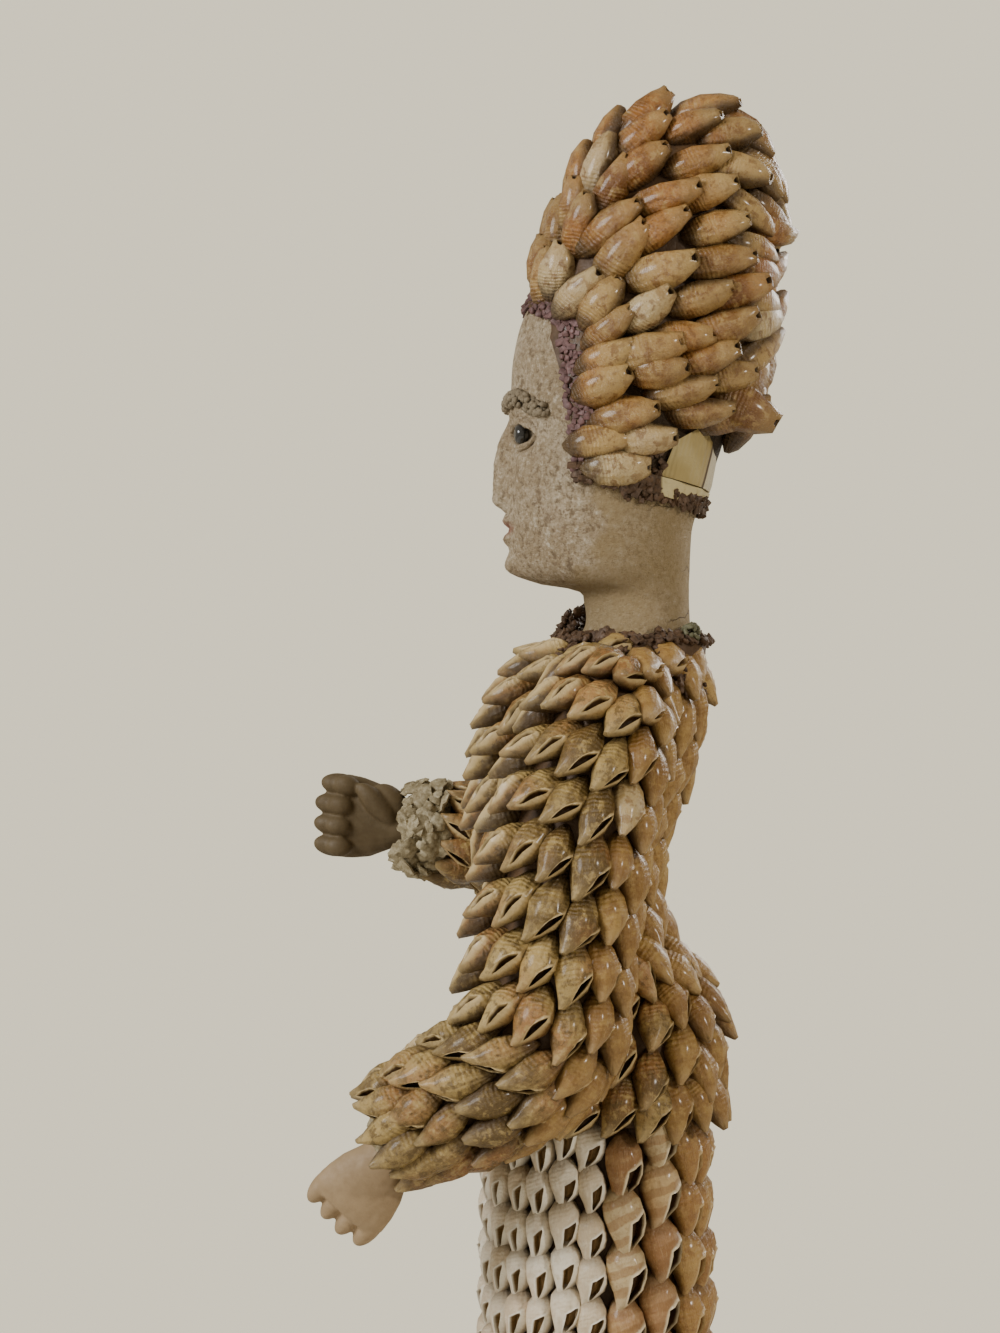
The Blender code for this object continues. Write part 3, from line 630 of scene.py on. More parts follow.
COLOUR, VALUE = "NodeSocketColor", "NodeSocketFloat"


def shell_skin_group():
    """Colour, roughness and relief of a shell: mottling, spiral bands, growth lines, lip, grime at the
    apex, and a mouth and underside darkened as painted shade.
    """
    group, tree, given, made = new_group(
        "shell skin",
        [("Pale", COLOUR), ("Deep", COLOUR), ("Blush", COLOUR), ("Mouth", COLOUR), ("Lip", COLOUR),
         ("Banding", VALUE), ("Mottling", VALUE), ("Gloss", VALUE)],
        [("Color", COLOUR), ("Roughness", VALUE), ("Height", VALUE)],
    )
    where = tree.place()
    tone = tree.attribute("tone")
    own = tree.attribute("own_place", "Vector")
    own_x, own_y, along = tree.axes(own)
    broad = tree.noise(where, 70.0, 2.0)
    blotch = tree.noise(where, 300.0, 4.0, 0.65, 0.3)
    fine = tree.noise(where, 900.0, 4.0, 0.7)
    shade = tree.plus(tone, tree.times(tree.minus(broad, 0.5), 0.8), True)
    colour = tree.mix(shade, given["Pale"], given["Deep"])
    flush = tree.noise(where, 34.0, 1.0)
    colour = tree.mix(tree.remap(flush, 0.42, 0.62, 0.0, 0.75), colour, given["Blush"])
    cream = tree.remap(tone, -0.9, -0.4, 0.7, 0.0)
    colour = tree.mix(cream, colour, SHELL_CREAM)
    dark_blotch = tree.times(tree.remap(blotch, 0.5, 0.6), given["Mottling"])
    colour = tree.mix(dark_blotch, colour, given["Deep"])
    pale_blotch = tree.times(tree.remap(blotch, 0.47, 0.38), given["Mottling"])
    colour = tree.mix(tree.times(pale_blotch, 0.8), colour, given["Pale"])
    colour = tree.mix(tree.remap(fine, 0.52, 0.75, 0.0, 0.5), colour, given["Deep"])
    wobble = tree.times(tree.noise(where, 200.0, 2.0), 1.8)
    slanting = tree.plus(along, tree.plus(wobble, tree.times(own_x, 0.22)))
    rings = tree.wave(slanting, 1.45)
    band = tree.times(tree.remap(rings, -0.15, 0.35), given["Banding"])
    colour = tree.mix(band, colour, given["Deep"])
    lines = tree.noise(tree.squeeze(own, (2.4, 2.4, 0.3)), 1.4, 3.0, 0.65)
    colour = tree.mix(tree.remap(lines, 0.5, 0.72, 0.0, 0.4), colour, given["Pale"])
    worn = tree.remap(along, 5.0, 9.5, 0.0, 0.35)
    colour = tree.mix(worn, colour, given["Lip"])
    # Darker towards the apex, where glue dirties the shell, and darker on the underside that faces the
    # garment, which is painted shade
    apex_grime = tree.remap(along, -9.0, -1.5, 0.9, 0.0)
    painted_underside_shade = tree.remap(own_y, -2.5, 1.6, 0.9, 0.0)
    grime_and_painted_shade = tree.maths("MAXIMUM", apex_grime, painted_underside_shade)
    grime_and_painted_shade = tree.times(grime_and_painted_shade, tree.remap(tree.noise(where, 260.0, 3.0), 0.3, 0.55, 0.7, 1.0))
    colour = tree.mix(grime_and_painted_shade, colour, GRIME_AND_PAINTED_SHADE)
    colour = tree.mix(tree.remap(tree.attribute("lip"), 0.3, 0.9), colour, given["Lip"])
    # The hollow takes the mouth colour: the shell's own brown inside, made darker as painted shade
    colour = tree.mix(tree.remap(tree.attribute("hollow"), 0.02, 0.5), colour, given["Mouth"])
    tree.feed(made["Color"], colour)
    tree.feed(made["Roughness"], tree.minus(tree.remap(fine, 0.3, 0.7, 0.36, 0.66), given["Gloss"]))
    turn = tree.maths("ARCTAN2", own_x, own_y)
    ribs = tree.wave(turn, 15.0)
    hoops = tree.wave(slanting, 4.6)
    lattice = tree.times(tree.plus(ribs, hoops), tree.remap(along, 5.5, -2.0, 0.05, 0.38))
    lattice = tree.times(lattice, given["Mottling"])
    relief = tree.plus(tree.plus(tree.times(fine, 0.6), lines), lattice)
    relief = tree.plus(relief, tree.times(tree.noise(where, 190.0, 2.0), 2.2))
    tree.feed(made["Height"], tree.plus(relief, tree.times(blotch, 0.9)))
    return group


def new_material(name):
    material = bpy.data.materials.new(name)
    material.use_nodes = True
    tree = Tree(material.node_tree)
    return material, tree, material.node_tree.nodes["Principled BSDF"]


def shell_material(name, pale, deep, blush, mouth, lip, banding, mottling, gloss, coat):
    material, tree, shader = new_material(name)
    skin = tree.add(
        "ShaderNodeGroup", {"node_tree": SHELL_SKIN}, Pale=pale, Deep=deep, Blush=blush, Mouth=mouth,
        Lip=lip, Banding=banding, Mottling=mottling, Gloss=gloss,
    ).outputs
    tree.surface(shader, skin["Color"], skin["Roughness"], skin["Height"], 0.6, 0.0007, coat)
    shader.inputs["Coat Roughness"].default_value = 0.16
    return material


def grain_group():
    """Uneven colour, roughness and relief of crushed, gritty or plastered stuff."""
    group, tree, given, made = new_group(
        "grain",
        [("Light", COLOUR), ("Dark", COLOUR), ("Scale", VALUE), ("Spread", VALUE)],
        [("Color", COLOUR), ("Height", VALUE), ("Speck", VALUE)],
    )
    where = tree.place()
    broad = tree.noise(where, 55.0, 3.0)
    grains = tree.noise(where, given["Scale"], 4.0, 0.7)
    patch = tree.plus(tree.times(broad, 0.5), tree.times(grains, given["Spread"]))
    colour = tree.mix(tree.remap(patch, 0.3, 0.85), given["Light"], given["Dark"])
    tree.feed(made["Color"], colour)
    tree.feed(made["Height"], grains)
    tree.feed(made["Speck"], tree.remap(tree.cells(where, GLITTER_SCALE), 0.0, 0.16, 1.0, 0.0))
    return group


def grainy_material(name, light, dark, scale, spread, depth, roughness, coat=0.0):
    material, tree, shader = new_material(name)
    grain = tree.add(
        "ShaderNodeGroup", {"node_tree": GRAIN}, Light=light, Dark=dark, Scale=scale, Spread=spread,
    ).outputs
    least, most = roughness - ROUGHNESS_SPREAD, roughness + ROUGHNESS_SPREAD
    dull = tree.remap(grain["Height"], 0.3, 0.7, least, most)
    tree.surface(shader, grain["Color"], dull, grain["Height"], 0.8, depth, coat)
    return material


SHELL_SKIN = shell_skin_group()
GRAIN = grain_group()

# Shells


def model_shell(name, rings, sides):
    """The body of one kind of shell, middled along its length."""
    half_length = rings[-1][0] / 2
    circles = [
        (
            Vector((shift, 0.0, along - half_length)),
            Vector((half_width, 0.0, 0.0)),
            Vector((0.0, half_thickness, 0.0)),
        )
        for along, shift, half_width, half_thickness in rings
    ]
    shell = loft(name, circles, sides, math.pi / sides)
    bm = edit(shell)
    for layer in ("hollow", "lip", "tone"):
        bm.verts.layers.float.new(layer)
    own = bm.verts.layers.float_vector.new("own_place")
    for vert in bm.verts:
        vert[own] = vert.co
    bmesh.update_edit_mesh(shell.data)
    deselect()
    return shell


def mark_selected(shell, layer_name, value):
    bm = bmesh.from_edit_mesh(shell.data)
    layer = bm.verts.layers.float[layer_name]
    for vert in bm.verts:
        if vert.select:
            vert[layer] = value
    bmesh.update_edit_mesh(shell.data)


def turn_of(point):
    return math.degrees(math.atan2(point.x, point.y))


def open_mouth(shell, rings, columella, lip, depth):
    """Opens the mouth in the lower right front of a shell, up to a bent inner side."""
    middle_z = rings[-1][0] / 2
    bends = [Vector((x, 0.0, z - middle_z)) for x, z in columella]
    cuts = []
    for upper, lower in zip(bends, bends[1:]):
        inward = Vector((lower.z - upper.z, 0.0, upper.x - lower.x)).normalized()
        cuts.append((upper, inward))
    low = bends[0].z

    def turn_on_shell(point):
        ring = min(rings, key=lambda row: abs(row[0] - middle_z - point.z))
        return turn_of(point - Vector((ring[1], 0.0, 0.0)))

    def faces_mouth(point):
        return MOUTH_FROM_DEG < turn_on_shell(point) < MOUTH_TO_DEG

    def inside(point, margin):
        return all((point - at).dot(inward) > margin for at, inward in cuts)

    def on_front(face):
        middle = face.calc_center_median()
        return middle.z > low - 2.5 and faces_mouth(middle)

    for at, inward in cuts:
        choose(shell, edit(shell), "faces", on_front)
        bpy.ops.mesh.bisect(plane_co=at, plane_no=inward)
    bm = bmesh.from_edit_mesh(shell.data)

    def in_mouth(face):
        middle = face.calc_center_median()
        return inside(middle, 0.02) and middle.z < middle_z - 0.02 and faces_mouth(middle)

    choose(shell, bm, "faces", in_mouth)
    bpy.ops.mesh.inset(thickness=lip, depth=0.0)
    bm = bmesh.from_edit_mesh(shell.data)
    floor = [face.index for face in bm.faces if face.select]
    mark_selected(shell, "lip", 1.0)
    bm = bmesh.from_edit_mesh(shell.data)
    lip_layer = bm.verts.layers.float["lip"]
    rim_faces = [
        face for face in bm.faces
        if face.index not in floor and any(v[lip_layer] == 1.0 for v in face.verts)
    ]
    rim = {vert for face in rim_faces for vert in face.verts}
    for vert in rim:
        vert[lip_layer] = max(vert[lip_layer], 0.7 if turn_on_shell(vert.co) > 45 else 0.35)
    choose(shell, bm, "verts", lambda vert: vert in rim)
    bpy.ops.mesh.vertices_smooth(factor=0.5, repeat=3)
    bm = bmesh.from_edit_mesh(shell.data)
    rim_layer = bm.verts.layers.float["lip"]
    choose(shell, bm, "verts", lambda vert: vert[rim_layer] > 0.6 and vert.co.x > 2.0)
    bpy.ops.transform.translate(value=(0.35, 0.65, 0.1))
    bm = bmesh.from_edit_mesh(shell.data)
    choose(shell, bm, "faces", lambda face: face.index in floor)
    bpy.ops.mesh.extrude_region_move(TRANSFORM_OT_translate={"value": (-depth * 0.3, -depth, -0.3)})
    bpy.ops.transform.resize(value=(0.85, 0.9, 0.9))
    mark_selected(shell, "lip", 0.0)
    # The sunk floor takes the mouth colour, which is partly painted shade
    mark_selected(shell, "hollow", 1.0)
    deselect()
    return shell


def flute(shell, tightness):
    """Sinks every other line along a shell, which leaves low ribs."""
    bm = edit(shell)
    bm.verts.ensure_lookup_table()
    choose(shell, bm, "verts", lambda v: v.index % 2 == 1 and abs(v.co.z) < 9.0)
    bpy.ops.transform.resize(value=(tightness, tightness, 1.0))
    deselect()
    return shell


def notch_end(shell, high, cut, depth):
    """Hollows the blunt end of a shell and cuts a notch in its rim."""
    bm = edit(shell)
    choose(shell, bm, "faces", lambda face: face.calc_center_median().z > high - 0.2)
    bpy.ops.mesh.inset(thickness=1.1, depth=0.0)
    bpy.ops.mesh.extrude_region_move(TRANSFORM_OT_translate={"value": (0.0, 0.0, -depth)})
    # The hollowed end takes the mouth colour too, which is partly painted shade
    mark_selected(shell, "hollow", 0.6)
    bm = bmesh.from_edit_mesh(shell.data)
    choose(shell, bm, "verts", lambda v: v.co.z > high - 0.2 and v.co.y > 0.7)
    bpy.ops.transform.translate(value=(0.0, -0.3, -cut))
    deselect()
    return shell


def roughen(obj, offset, uniform, seed, normal=0.0):
    """Shifts a piece's surface a little here and there, as handwork and growth do."""
    edit(obj)
    bpy.ops.mesh.select_all(action="SELECT")
    bpy.ops.transform.vertex_random(offset=offset, uniform=uniform, normal=normal, seed=seed)
    deselect()
    return obj


def copy_of(model):
    copy = model.copy()
    copy.data = model.data.copy()
    bpy.context.scene.collection.objects.link(copy)
    return copy


def variants(model, count, offset):
    """A model with some unlike copies of itself."""
    return [model] + [roughen(copy_of(model), offset, 0.1, seed, 0.3) for seed in range(1, count)]


def model_shells():
    tan, dog = (
        open_mouth(model_shell(name, rings, SHELL_SIDES), rings, columella, lip, MOUTH_DEPTH)
        for name, rings, columella, lip in (
            ("tan_whelk_model", TAN_WHELK, TAN_COLUMELLA, TAN_LIP),
            ("dog_whelk_model", DOG_WHELK, DOG_COLUMELLA, DOG_LIP),
        )
    )
    dove = flute(model_shell("dove_shell_model", DOVE_SHELL, DOVE_SIDES), tightness=0.92)
    notch_end(dove, high=DOVE_SHELL[-1][0] / 2, cut=1.3, depth=1.4)
    return variants(tan, 4, 0.22), variants(dog, 3, 0.2), variants(dove, 4, 0.3)


class Rack:
    """Copies of shell models, laid on a garment and then joined into one piece."""

    def __init__(self, seed):
        self.chance = random.Random(seed)
        self.copies = []

    def lay(self, model, place, out, flow, yaw=0.0, lift=0.0, roll=0.0, size=(1.0, 1.0, 1.0), tone=0.5):
        right = out.cross(flow).normalized()
        out = flow.cross(right).normalized()
        turned = Matrix((right, out, flow)).transposed().to_4x4()
        turned = turned @ Matrix.Rotation(math.radians(yaw), 4, "Y")
        turned = turned @ Matrix.Rotation(math.radians(-lift), 4, "X")
        turned = turned @ Matrix.Rotation(math.radians(roll), 4, "Z")
        model = self.chance.choice(model) if isinstance(model, list) else model
        copy = copy_of(model)
        copy.data.transform(Matrix.Translation(place) @ turned @ Matrix.Diagonal((*size, 1.0)))
        values = copy.data.attributes["tone"].data
        values.foreach_set("value", [tone] * len(values))
        self.copies.append(copy)

    def crumb(self, models, place, out, middle_size=1.0):
        """One crumb on a surface, turned any way."""
        aside = out.orthogonal().normalized()
        size = middle_size * self.about(1.0, 0.25)
        self.lay(
            models, place, aside, out, self.about(0.0, 25.0), self.about(0.0, 25.0),
            self.chance.uniform(0, 360), (size, size, size), self.chance.random(),
        )

    def about(self, middle, spread):
        return middle + self.chance.uniform(-spread, spread)

    def finish(self, name, material, slot, *nodes):
        return settle(join(name, self.copies), material, slot, *nodes, angle=60)


def column_line(section, turn, start=0.0, drift=0.0):
    """How far along a column of a garment each share of its length lies."""
    samples = 160
    line = [(start, 0.0)]
    last = surface_frame(section, start, turn + drift * start)[0]
    for i in range(1, samples + 1):
        share = start + (1.0 - start) * i / samples
        point = surface_frame(section, share, turn + drift * share)[0]
        line.append((share, line[-1][1] + (point - last).length))
        last = point
    return line


def share_at(line, run):
    """The share of a garment's length at a distance along one of its columns, or None beyond its end."""
    return next((share for share, reached in line if reached >= run), None)


def hem_rows(section, turn, hem, first_gap, pitch):
    """Places at equal steps up one column of a garment from its free end."""
    line = column_line(section, turn)
    run = line[-1][1] - hem
    shares = []
    while run > 0:
        shares.append(share_at(line, run))
        run -= first_gap if len(shares) == 1 else pitch
    return shares


def lay_skirt(dog):
    """White whelks in front, two columns of banded ones at each side and amber ones behind."""
    white, banded, amber = Rack(SEED), Rack(SEED + 1), Rack(SEED + 2)
    columns = []
    for i in range(SKIRT_FRONT_COLUMNS):
        turn_deg = 180.0 - SKIRT_FRONT_DEG + SKIRT_FRONT_DEG * 2 * (i + 0.5) / SKIRT_FRONT_COLUMNS
        columns.append((turn_deg, white, *WHITE_FIT))
    for side in (-1, 1):
        for beyond, fit in zip((11.0, 32.0), BANDED_FIT):
            columns.append((180.0 + side * (SKIRT_FRONT_DEG + beyond), banded, *fit))
    for i in range(SKIRT_BACK_COLUMNS):
        turn_deg = -SKIRT_BACK_DEG + SKIRT_BACK_DEG * 2 * (i + 0.5) / SKIRT_BACK_COLUMNS
        columns.append((turn_deg, amber, *AMBER_FIT))
    for turn_deg, rack, pitch, width in columns:
        first_gap = rack.chance.uniform(0.6, 1.0) * pitch
        for share in hem_rows(skirt_section, math.radians(turn_deg), SKIRT_HEM, first_gap, pitch):
            turn = math.radians(rack.about(turn_deg, 1.0))
            place, out, flow = surface_frame(skirt_section, share, turn)
            size = width * (1.0 + 0.13 * share) * rack.about(1.0, 0.07)
            cream = rack is banded and rack.chance.random() < 0.16
            rack.lay(
                dog, place + out * -0.9, out, flow, yaw=rack.about(3.0, 7.0), lift=rack.about(9.0, 4.0),
                roll=rack.about(6.0 if rack is white else 12.0, 9.0),
                size=(size * 0.9, size * 0.95, width * rack.about(1.02, 0.05)),
                tone=CREAM_TONE if cream else rack.chance.random(),
            )
    return white, banded, amber


def lay_whelks(tan, section, columns, pitch, keep, lean, seed):
    """Rows of tan whelks over a bodice or a sleeve, with amber ones on its back.

    keep says which places are clad, and lean gives a shell's yaw, lift, roll, rise and darkness; the
    darkness is painted light and shade.
    """
    khaki, amber = Rack(seed), Rack(seed + 40)
    for column in range(columns):
        turn_deg = 360.0 * column / columns
        first_gap = pitch * (1.0 if column % 2 else 0.6)
        hem = khaki.chance.uniform(5.5, 8.0)
        for share in hem_rows(section, math.radians(turn_deg), hem, first_gap, pitch):
            turn = math.radians(khaki.about(turn_deg, 2.0))
            place, out, flow = surface_frame(section, share, turn)
            if not keep(place):
                continue
            yaw, lift, roll, rise, dark = lean(share, out)
            rack = amber if out.y > 0.5 else khaki
            size = rack.about(1.03, 0.09)
            tone = min(max(rack.about(dark, 0.5), 0.0), 1.0)
            if rack.chance.random() < 0.015:
                tone = CREAM_TONE
            rack.lay(
                tan, place + out * rise, out, flow, yaw=rack.about(yaw, 9.0), lift=rack.about(lift, 6.0),
                roll=rack.about(roll, 15.0), size=(size, size, rack.about(1.12, 0.08)), tone=tone,
            )
    return khaki, amber


def lay_bodice(tan):
    """Whelks that lift off the chest in front and lean back on the peplum."""

    def keep(place):
        return not any(inside_sleeve(place, s, 0.7) for s in (left_sleeve_section, right_sleeve_section))

    def lean(share, out):
        front = max(0.0, -out.y) if share < 0.75 else 0.0
        peplum = 1.0 if share > 0.7 else 0.0
        lift = 17.0 + 36.0 * front + 6.0 * peplum
        # The last value darkens the peplum's whelks as painted shade
        return 4.0 - 10.0 * peplum, lift, 30.0 * front, -1.6 + 1.0 * front, 0.2 + 0.7 * peplum

    return lay_whelks(tan, bodice_section, BODICE_COLUMNS, BODICE_PITCH, keep, lean, SEED + 3)


def lay_sleeve(tan, section, columns, side, seed):
    """Whelks that lift in front of the upper arm and turn outwards at the shoulder and forearm."""

    def keep(place):
        return not inside_bodice(place, 0.88)

    def lean(share, out):
        outer = max(0.0, out.x * side)
        front = max(0.0, (-out.y - 0.4) / 0.6) if share < 0.6 else 0.0
        forearm = min(max((share - 0.55) * 6.0, 0.0), 1.0)
        yaw = -side * outer * (15.0 * max(0.0, 1.0 - share) + 22.0 * max(0.0, 1.0 - share / 0.16))
        roll = 25.0 * front - 50.0 * forearm * outer * side
        # Painted light and shade: whelks that face the front get a paler tone, those on the side and
        # back a darker one
        dark = 0.6 - 0.6 * front
        return yaw, 21.0 + 32.0 * front - 9.0 * forearm, roll, -1.5 + 1.2 * front, dark

    return lay_whelks(tan, section, columns, SLEEVE_PITCH, keep, lean, seed)


def depth_in_hair(point):
    """How far a place lies above and behind the hairline, in the side view."""
    depths = []
    for (y1, z1), (y2, z2) in zip(HAIRLINE, HAIRLINE[1:]):
        along = Vector((y2 - y1, z2 - z1)).normalized()
        inward = Vector((-along.y, along.x))
        depths.append((Vector((point.y, point.z)) - Vector((y1, z1))).dot(inward))
    forehead, temple, jaw = depths
    return min(max(forehead, temple), jaw)


def in_nape(point):
    """Whether a place lies below the hair, where the nape valves are."""
    for (y1, z1), (y2, z2) in zip(NAPE_EDGE, NAPE_EDGE[1:]):
        if y1 <= point.y <= y2:
            return point.z < z1 + (z2 - z1) * (point.y - y1) / (y2 - y1)
    return False


def even_turns(section, share, columns):
    """Turns that part a ring of a garment into equal steps along its edge."""
    steps = 360
    _, across, upright = section(share)
    turns = [2 * math.pi * i / steps for i in range(steps + 1)]
    points = [math.sin(turn) * across + math.cos(turn) * upright for turn in turns]
    runs = [0.0]
    for one, two in zip(points, points[1:]):
        runs.append(runs[-1] + (two - one).length)
    wanted = [runs[-1] * (column + 0.5) / columns for column in range(columns)]
    return [turns[next(i for i, run in enumerate(runs) if run >= place)] for place in wanted]


def hair_drift(turn):
    """How far round the hair a column of shells drifts on its way back."""
    return math.radians(HAIR_DRIFT_DEG) * math.sin(turn)


def crowds(place, flow, laid):
    """Whether a hair shell would lie too close beside one that is already laid."""
    for other in laid:
        apart = place - other
        along = apart.dot(flow)
        if abs(along) < CROWDED_ALONG and (apart - flow * along).length < CROWDED_BESIDE:
            return True
    return False


def head_half_width(y, z):
    """Half the head's width at a depth and height, or nothing outside it."""
    front, back, half = smooth_rows(HEAD_SECTIONS, z)
    middle, depth = (front + back) / 2, (back - front) / 2
    return half * math.sqrt(max(0.0, 1.0 - ((y - middle) / depth) ** 2))


def clear_of_head(place, out, flow):
    """Moves a place on the hair out to the head's surface, where the head is wider than the hair."""
    wide = head_half_width(place.y, place.z) + 1.2
    if abs(place.x) < 10.0 or abs(place.x) > wide:
        return place, out, flow
    side = math.copysign(1.0, place.x)
    out = Vector((side, 0.1, -0.05)).normalized()
    return Vector((side * wide, place.y, place.z)), out, (flow - out * flow.dot(out)).normalized()


def lay_hair(dove):
    """Rows of dove shells that run back from the hairline, and more where there is room between them."""
    rack = Rack(SEED + 6)
    laid = []

    def lay_one(place, out, flow, lift, first, cream=False):
        laid.append(place)
        size = rack.about(1.02, 0.13)
        length = rack.about(0.84, 0.06) if first else rack.about(0.96, 0.12)
        place = place + out.cross(flow) * rack.about(0.0, 0.0 if first else 1.7)
        tone = CREAM_TONE if rack.chance.random() < 0.04 or cream else rack.chance.random()
        rack.lay(
            dove, place + out * -0.8, out, flow, yaw=rack.about(0.0, 15.0), lift=rack.about(lift, 7.0),
            roll=rack.chance.uniform(-60, 60), size=(size, size, length), tone=tone,
        )

    def hair_frame(turn, share):
        drift = hair_drift(turn)
        return surface_frame(hair_section, share, turn + drift * share, drift)

    def add(turn, share, first):
        place, out, flow = clear_of_head(*hair_frame(turn, share))
        over_nape = in_nape(place) or (not first and in_nape(place + flow * 11.0))
        if not over_nape and not crowds(place, flow, laid):
            lay_one(place, out, flow, 14.0 + (26.0 * share if place.y < 47.0 else 2.0), first)

    for side in (-1, 1):
        for y, z, cream in HAIR_LOW_ROWS:
            place = Vector((side * (1.2 + head_half_width(y, z)), y, z))
            lay_one(place, Vector((side, 0.15, 0.0)), Vector((0.0, 1.0, -0.04)), 9.0, True, cream)
    lines = []
    for turn in even_turns(hair_section, 0.45, HAIR_COLUMNS):
        drift = hair_drift(turn)
        start = 0.0
        while start < 0.9 and depth_in_hair(hair_frame(turn, start)[0]) < GLUE_STARTS:
            start += 0.01
        lines.append((turn, column_line(hair_section, turn, start, drift)))
    for row in range(HAIR_ROWS):
        for column, (turn, line) in enumerate(lines):
            stagger = 0.5 * HAIR_PITCH * (column % 2) * min(row, 1)
            share = share_at(line, FIRST_ROW_RUN + row * HAIR_PITCH + stagger + rack.about(0.0, 2.6))
            if share is not None and share < ROWS_END_SHARE:
                add(turn, share, row == 0)
    for _ in range(GAP_TRIES):
        turn, share = rack.chance.uniform(0, 2 * math.pi), rack.chance.uniform(0.15, 0.95)
        if depth_in_hair(hair_frame(turn, share)[0]) > GAP_DEPTH:
            add(turn, share, False)
    rack.lay(
        dove, Vector(HANGING_SHELL), Vector(HANGING_OUT), Vector(HANGING_FLOW).normalized(),
        size=(1.3, 1.2, 1.0), tone=0.9,
    )
    return rack


def garment_bed(name, section, material, slot, *nodes, sunk=4.2, rings=26, sides=40):
    """The dark glue that carries the shells: a rough closed form under them."""
    circles = []
    for i in range(rings + 1):
        middle, *halves = section(i / rings)
        circles.append((middle, *(half * (1 - sunk / half.length) for half in halves)))
    bed = loft(name, circles, sides)
    return settle(bed, material, slot, *nodes) if slot else bed


def make_hair_bed(material):
    """The hair's bed, cut away over the nape valves."""
    bed = garment_bed("hair_bed", hair_section, material, None, sunk=3.6)
    top = NECKLINE_Z + 80.0
    deselect()
    bpy.ops.mesh.primitive_cube_add(size=1.0)
    cutter = bpy.context.object
    bpy.ops.object.mode_set(mode="EDIT")
    near_y, end_y = NAPE_EDGE[0][0], NAPE_EDGE[-1][0]
    far_z = NAPE_EDGE[-2][1]
    bpy.ops.transform.resize(value=(120.0, end_y - near_y, top - NECKLINE_Z))
    bpy.ops.transform.translate(value=(0.0, (end_y + near_y) / 2, (top + NECKLINE_Z) / 2))
    for (y1, z1), (y2, z2) in zip(NAPE_EDGE, (*NAPE_EDGE[1:-1], (end_y, far_z))):
        bpy.ops.mesh.select_all(action="SELECT")
        bpy.ops.mesh.bisect(
            plane_co=(0.0, y1, z1), plane_no=(0.0, z1 - z2, y2 - y1), use_fill=True, clear_outer=True,
        )
    deselect()
    modifier(bed, "BOOLEAN", operation="DIFFERENCE", solver="EXACT", object=cutter)
    bpy.data.objects.remove(cutter)
    return settle(bed, material, "brown_crumbs", "headdress")


# Head


def head_rings():
    rings = []
    bottom, step = HEAD_SECTIONS[0][0], 1.2
    for i in range(int((HEAD_SECTIONS[-1][0] - bottom) / step) + 1):
        z = bottom + step * i
        front, back, half = smooth_rows(HEAD_SECTIONS, z)
        middle, depth = (front + back) / 2, (back - front) / 2
        rings.append((Vector((0.0, middle, z)), Vector((half, 0.0, 0.0)), Vector((0.0, depth, 0.0))))
    return rings


def press(obj, points, move, reach):
    """Moves the surface near some points in or out, fading over a distance."""
    bm = bmesh.from_edit_mesh(obj.data)
    wanted = {min(bm.verts, key=lambda v: (v.co - point).length_squared) for point in points}
    choose(obj, bm, "verts", lambda v: v in wanted)
    bpy.ops.transform.translate(
        value=(0, move, 0), use_proportional_edit=True, proportional_edit_falloff="SMOOTH",
        proportional_size=reach, use_proportional_connected=False,
    )


def face_point(x, z):
    front, back, half = smooth_rows(HEAD_SECTIONS, z)
    depth = (back - front) / 2
    return Vector((x, (front + back) / 2 - depth * math.sqrt(max(0.0, 1 - (x / half) ** 2)), z))


def make_head(material):
    head = loft("head_form", head_rings(), 96)
    edit(head)
    for side in (-1, 1):
        for across, z, move, reach in SIDE_PRESSES:
            press(head, [face_point(side * x, z) for x in across], move, reach)
    ridge = [face_point(0.0, z) for z in range(int(NOSE_BASE_Z) + 1, int(EYE_Z) + 3, 2)]
    for count in range(len(ridge)):
        press(head, ridge[:len(ridge) - count], -0.95, 5.4 + 1.45 * (1 - count / len(ridge)))
    for across, z, move, reach in FRONT_PRESSES:
        press(head, [face_point(x, z) for x in across], move, reach)
    deselect()
    paint_head(head)
    return settle(head, material, "painted_plaster", "head")


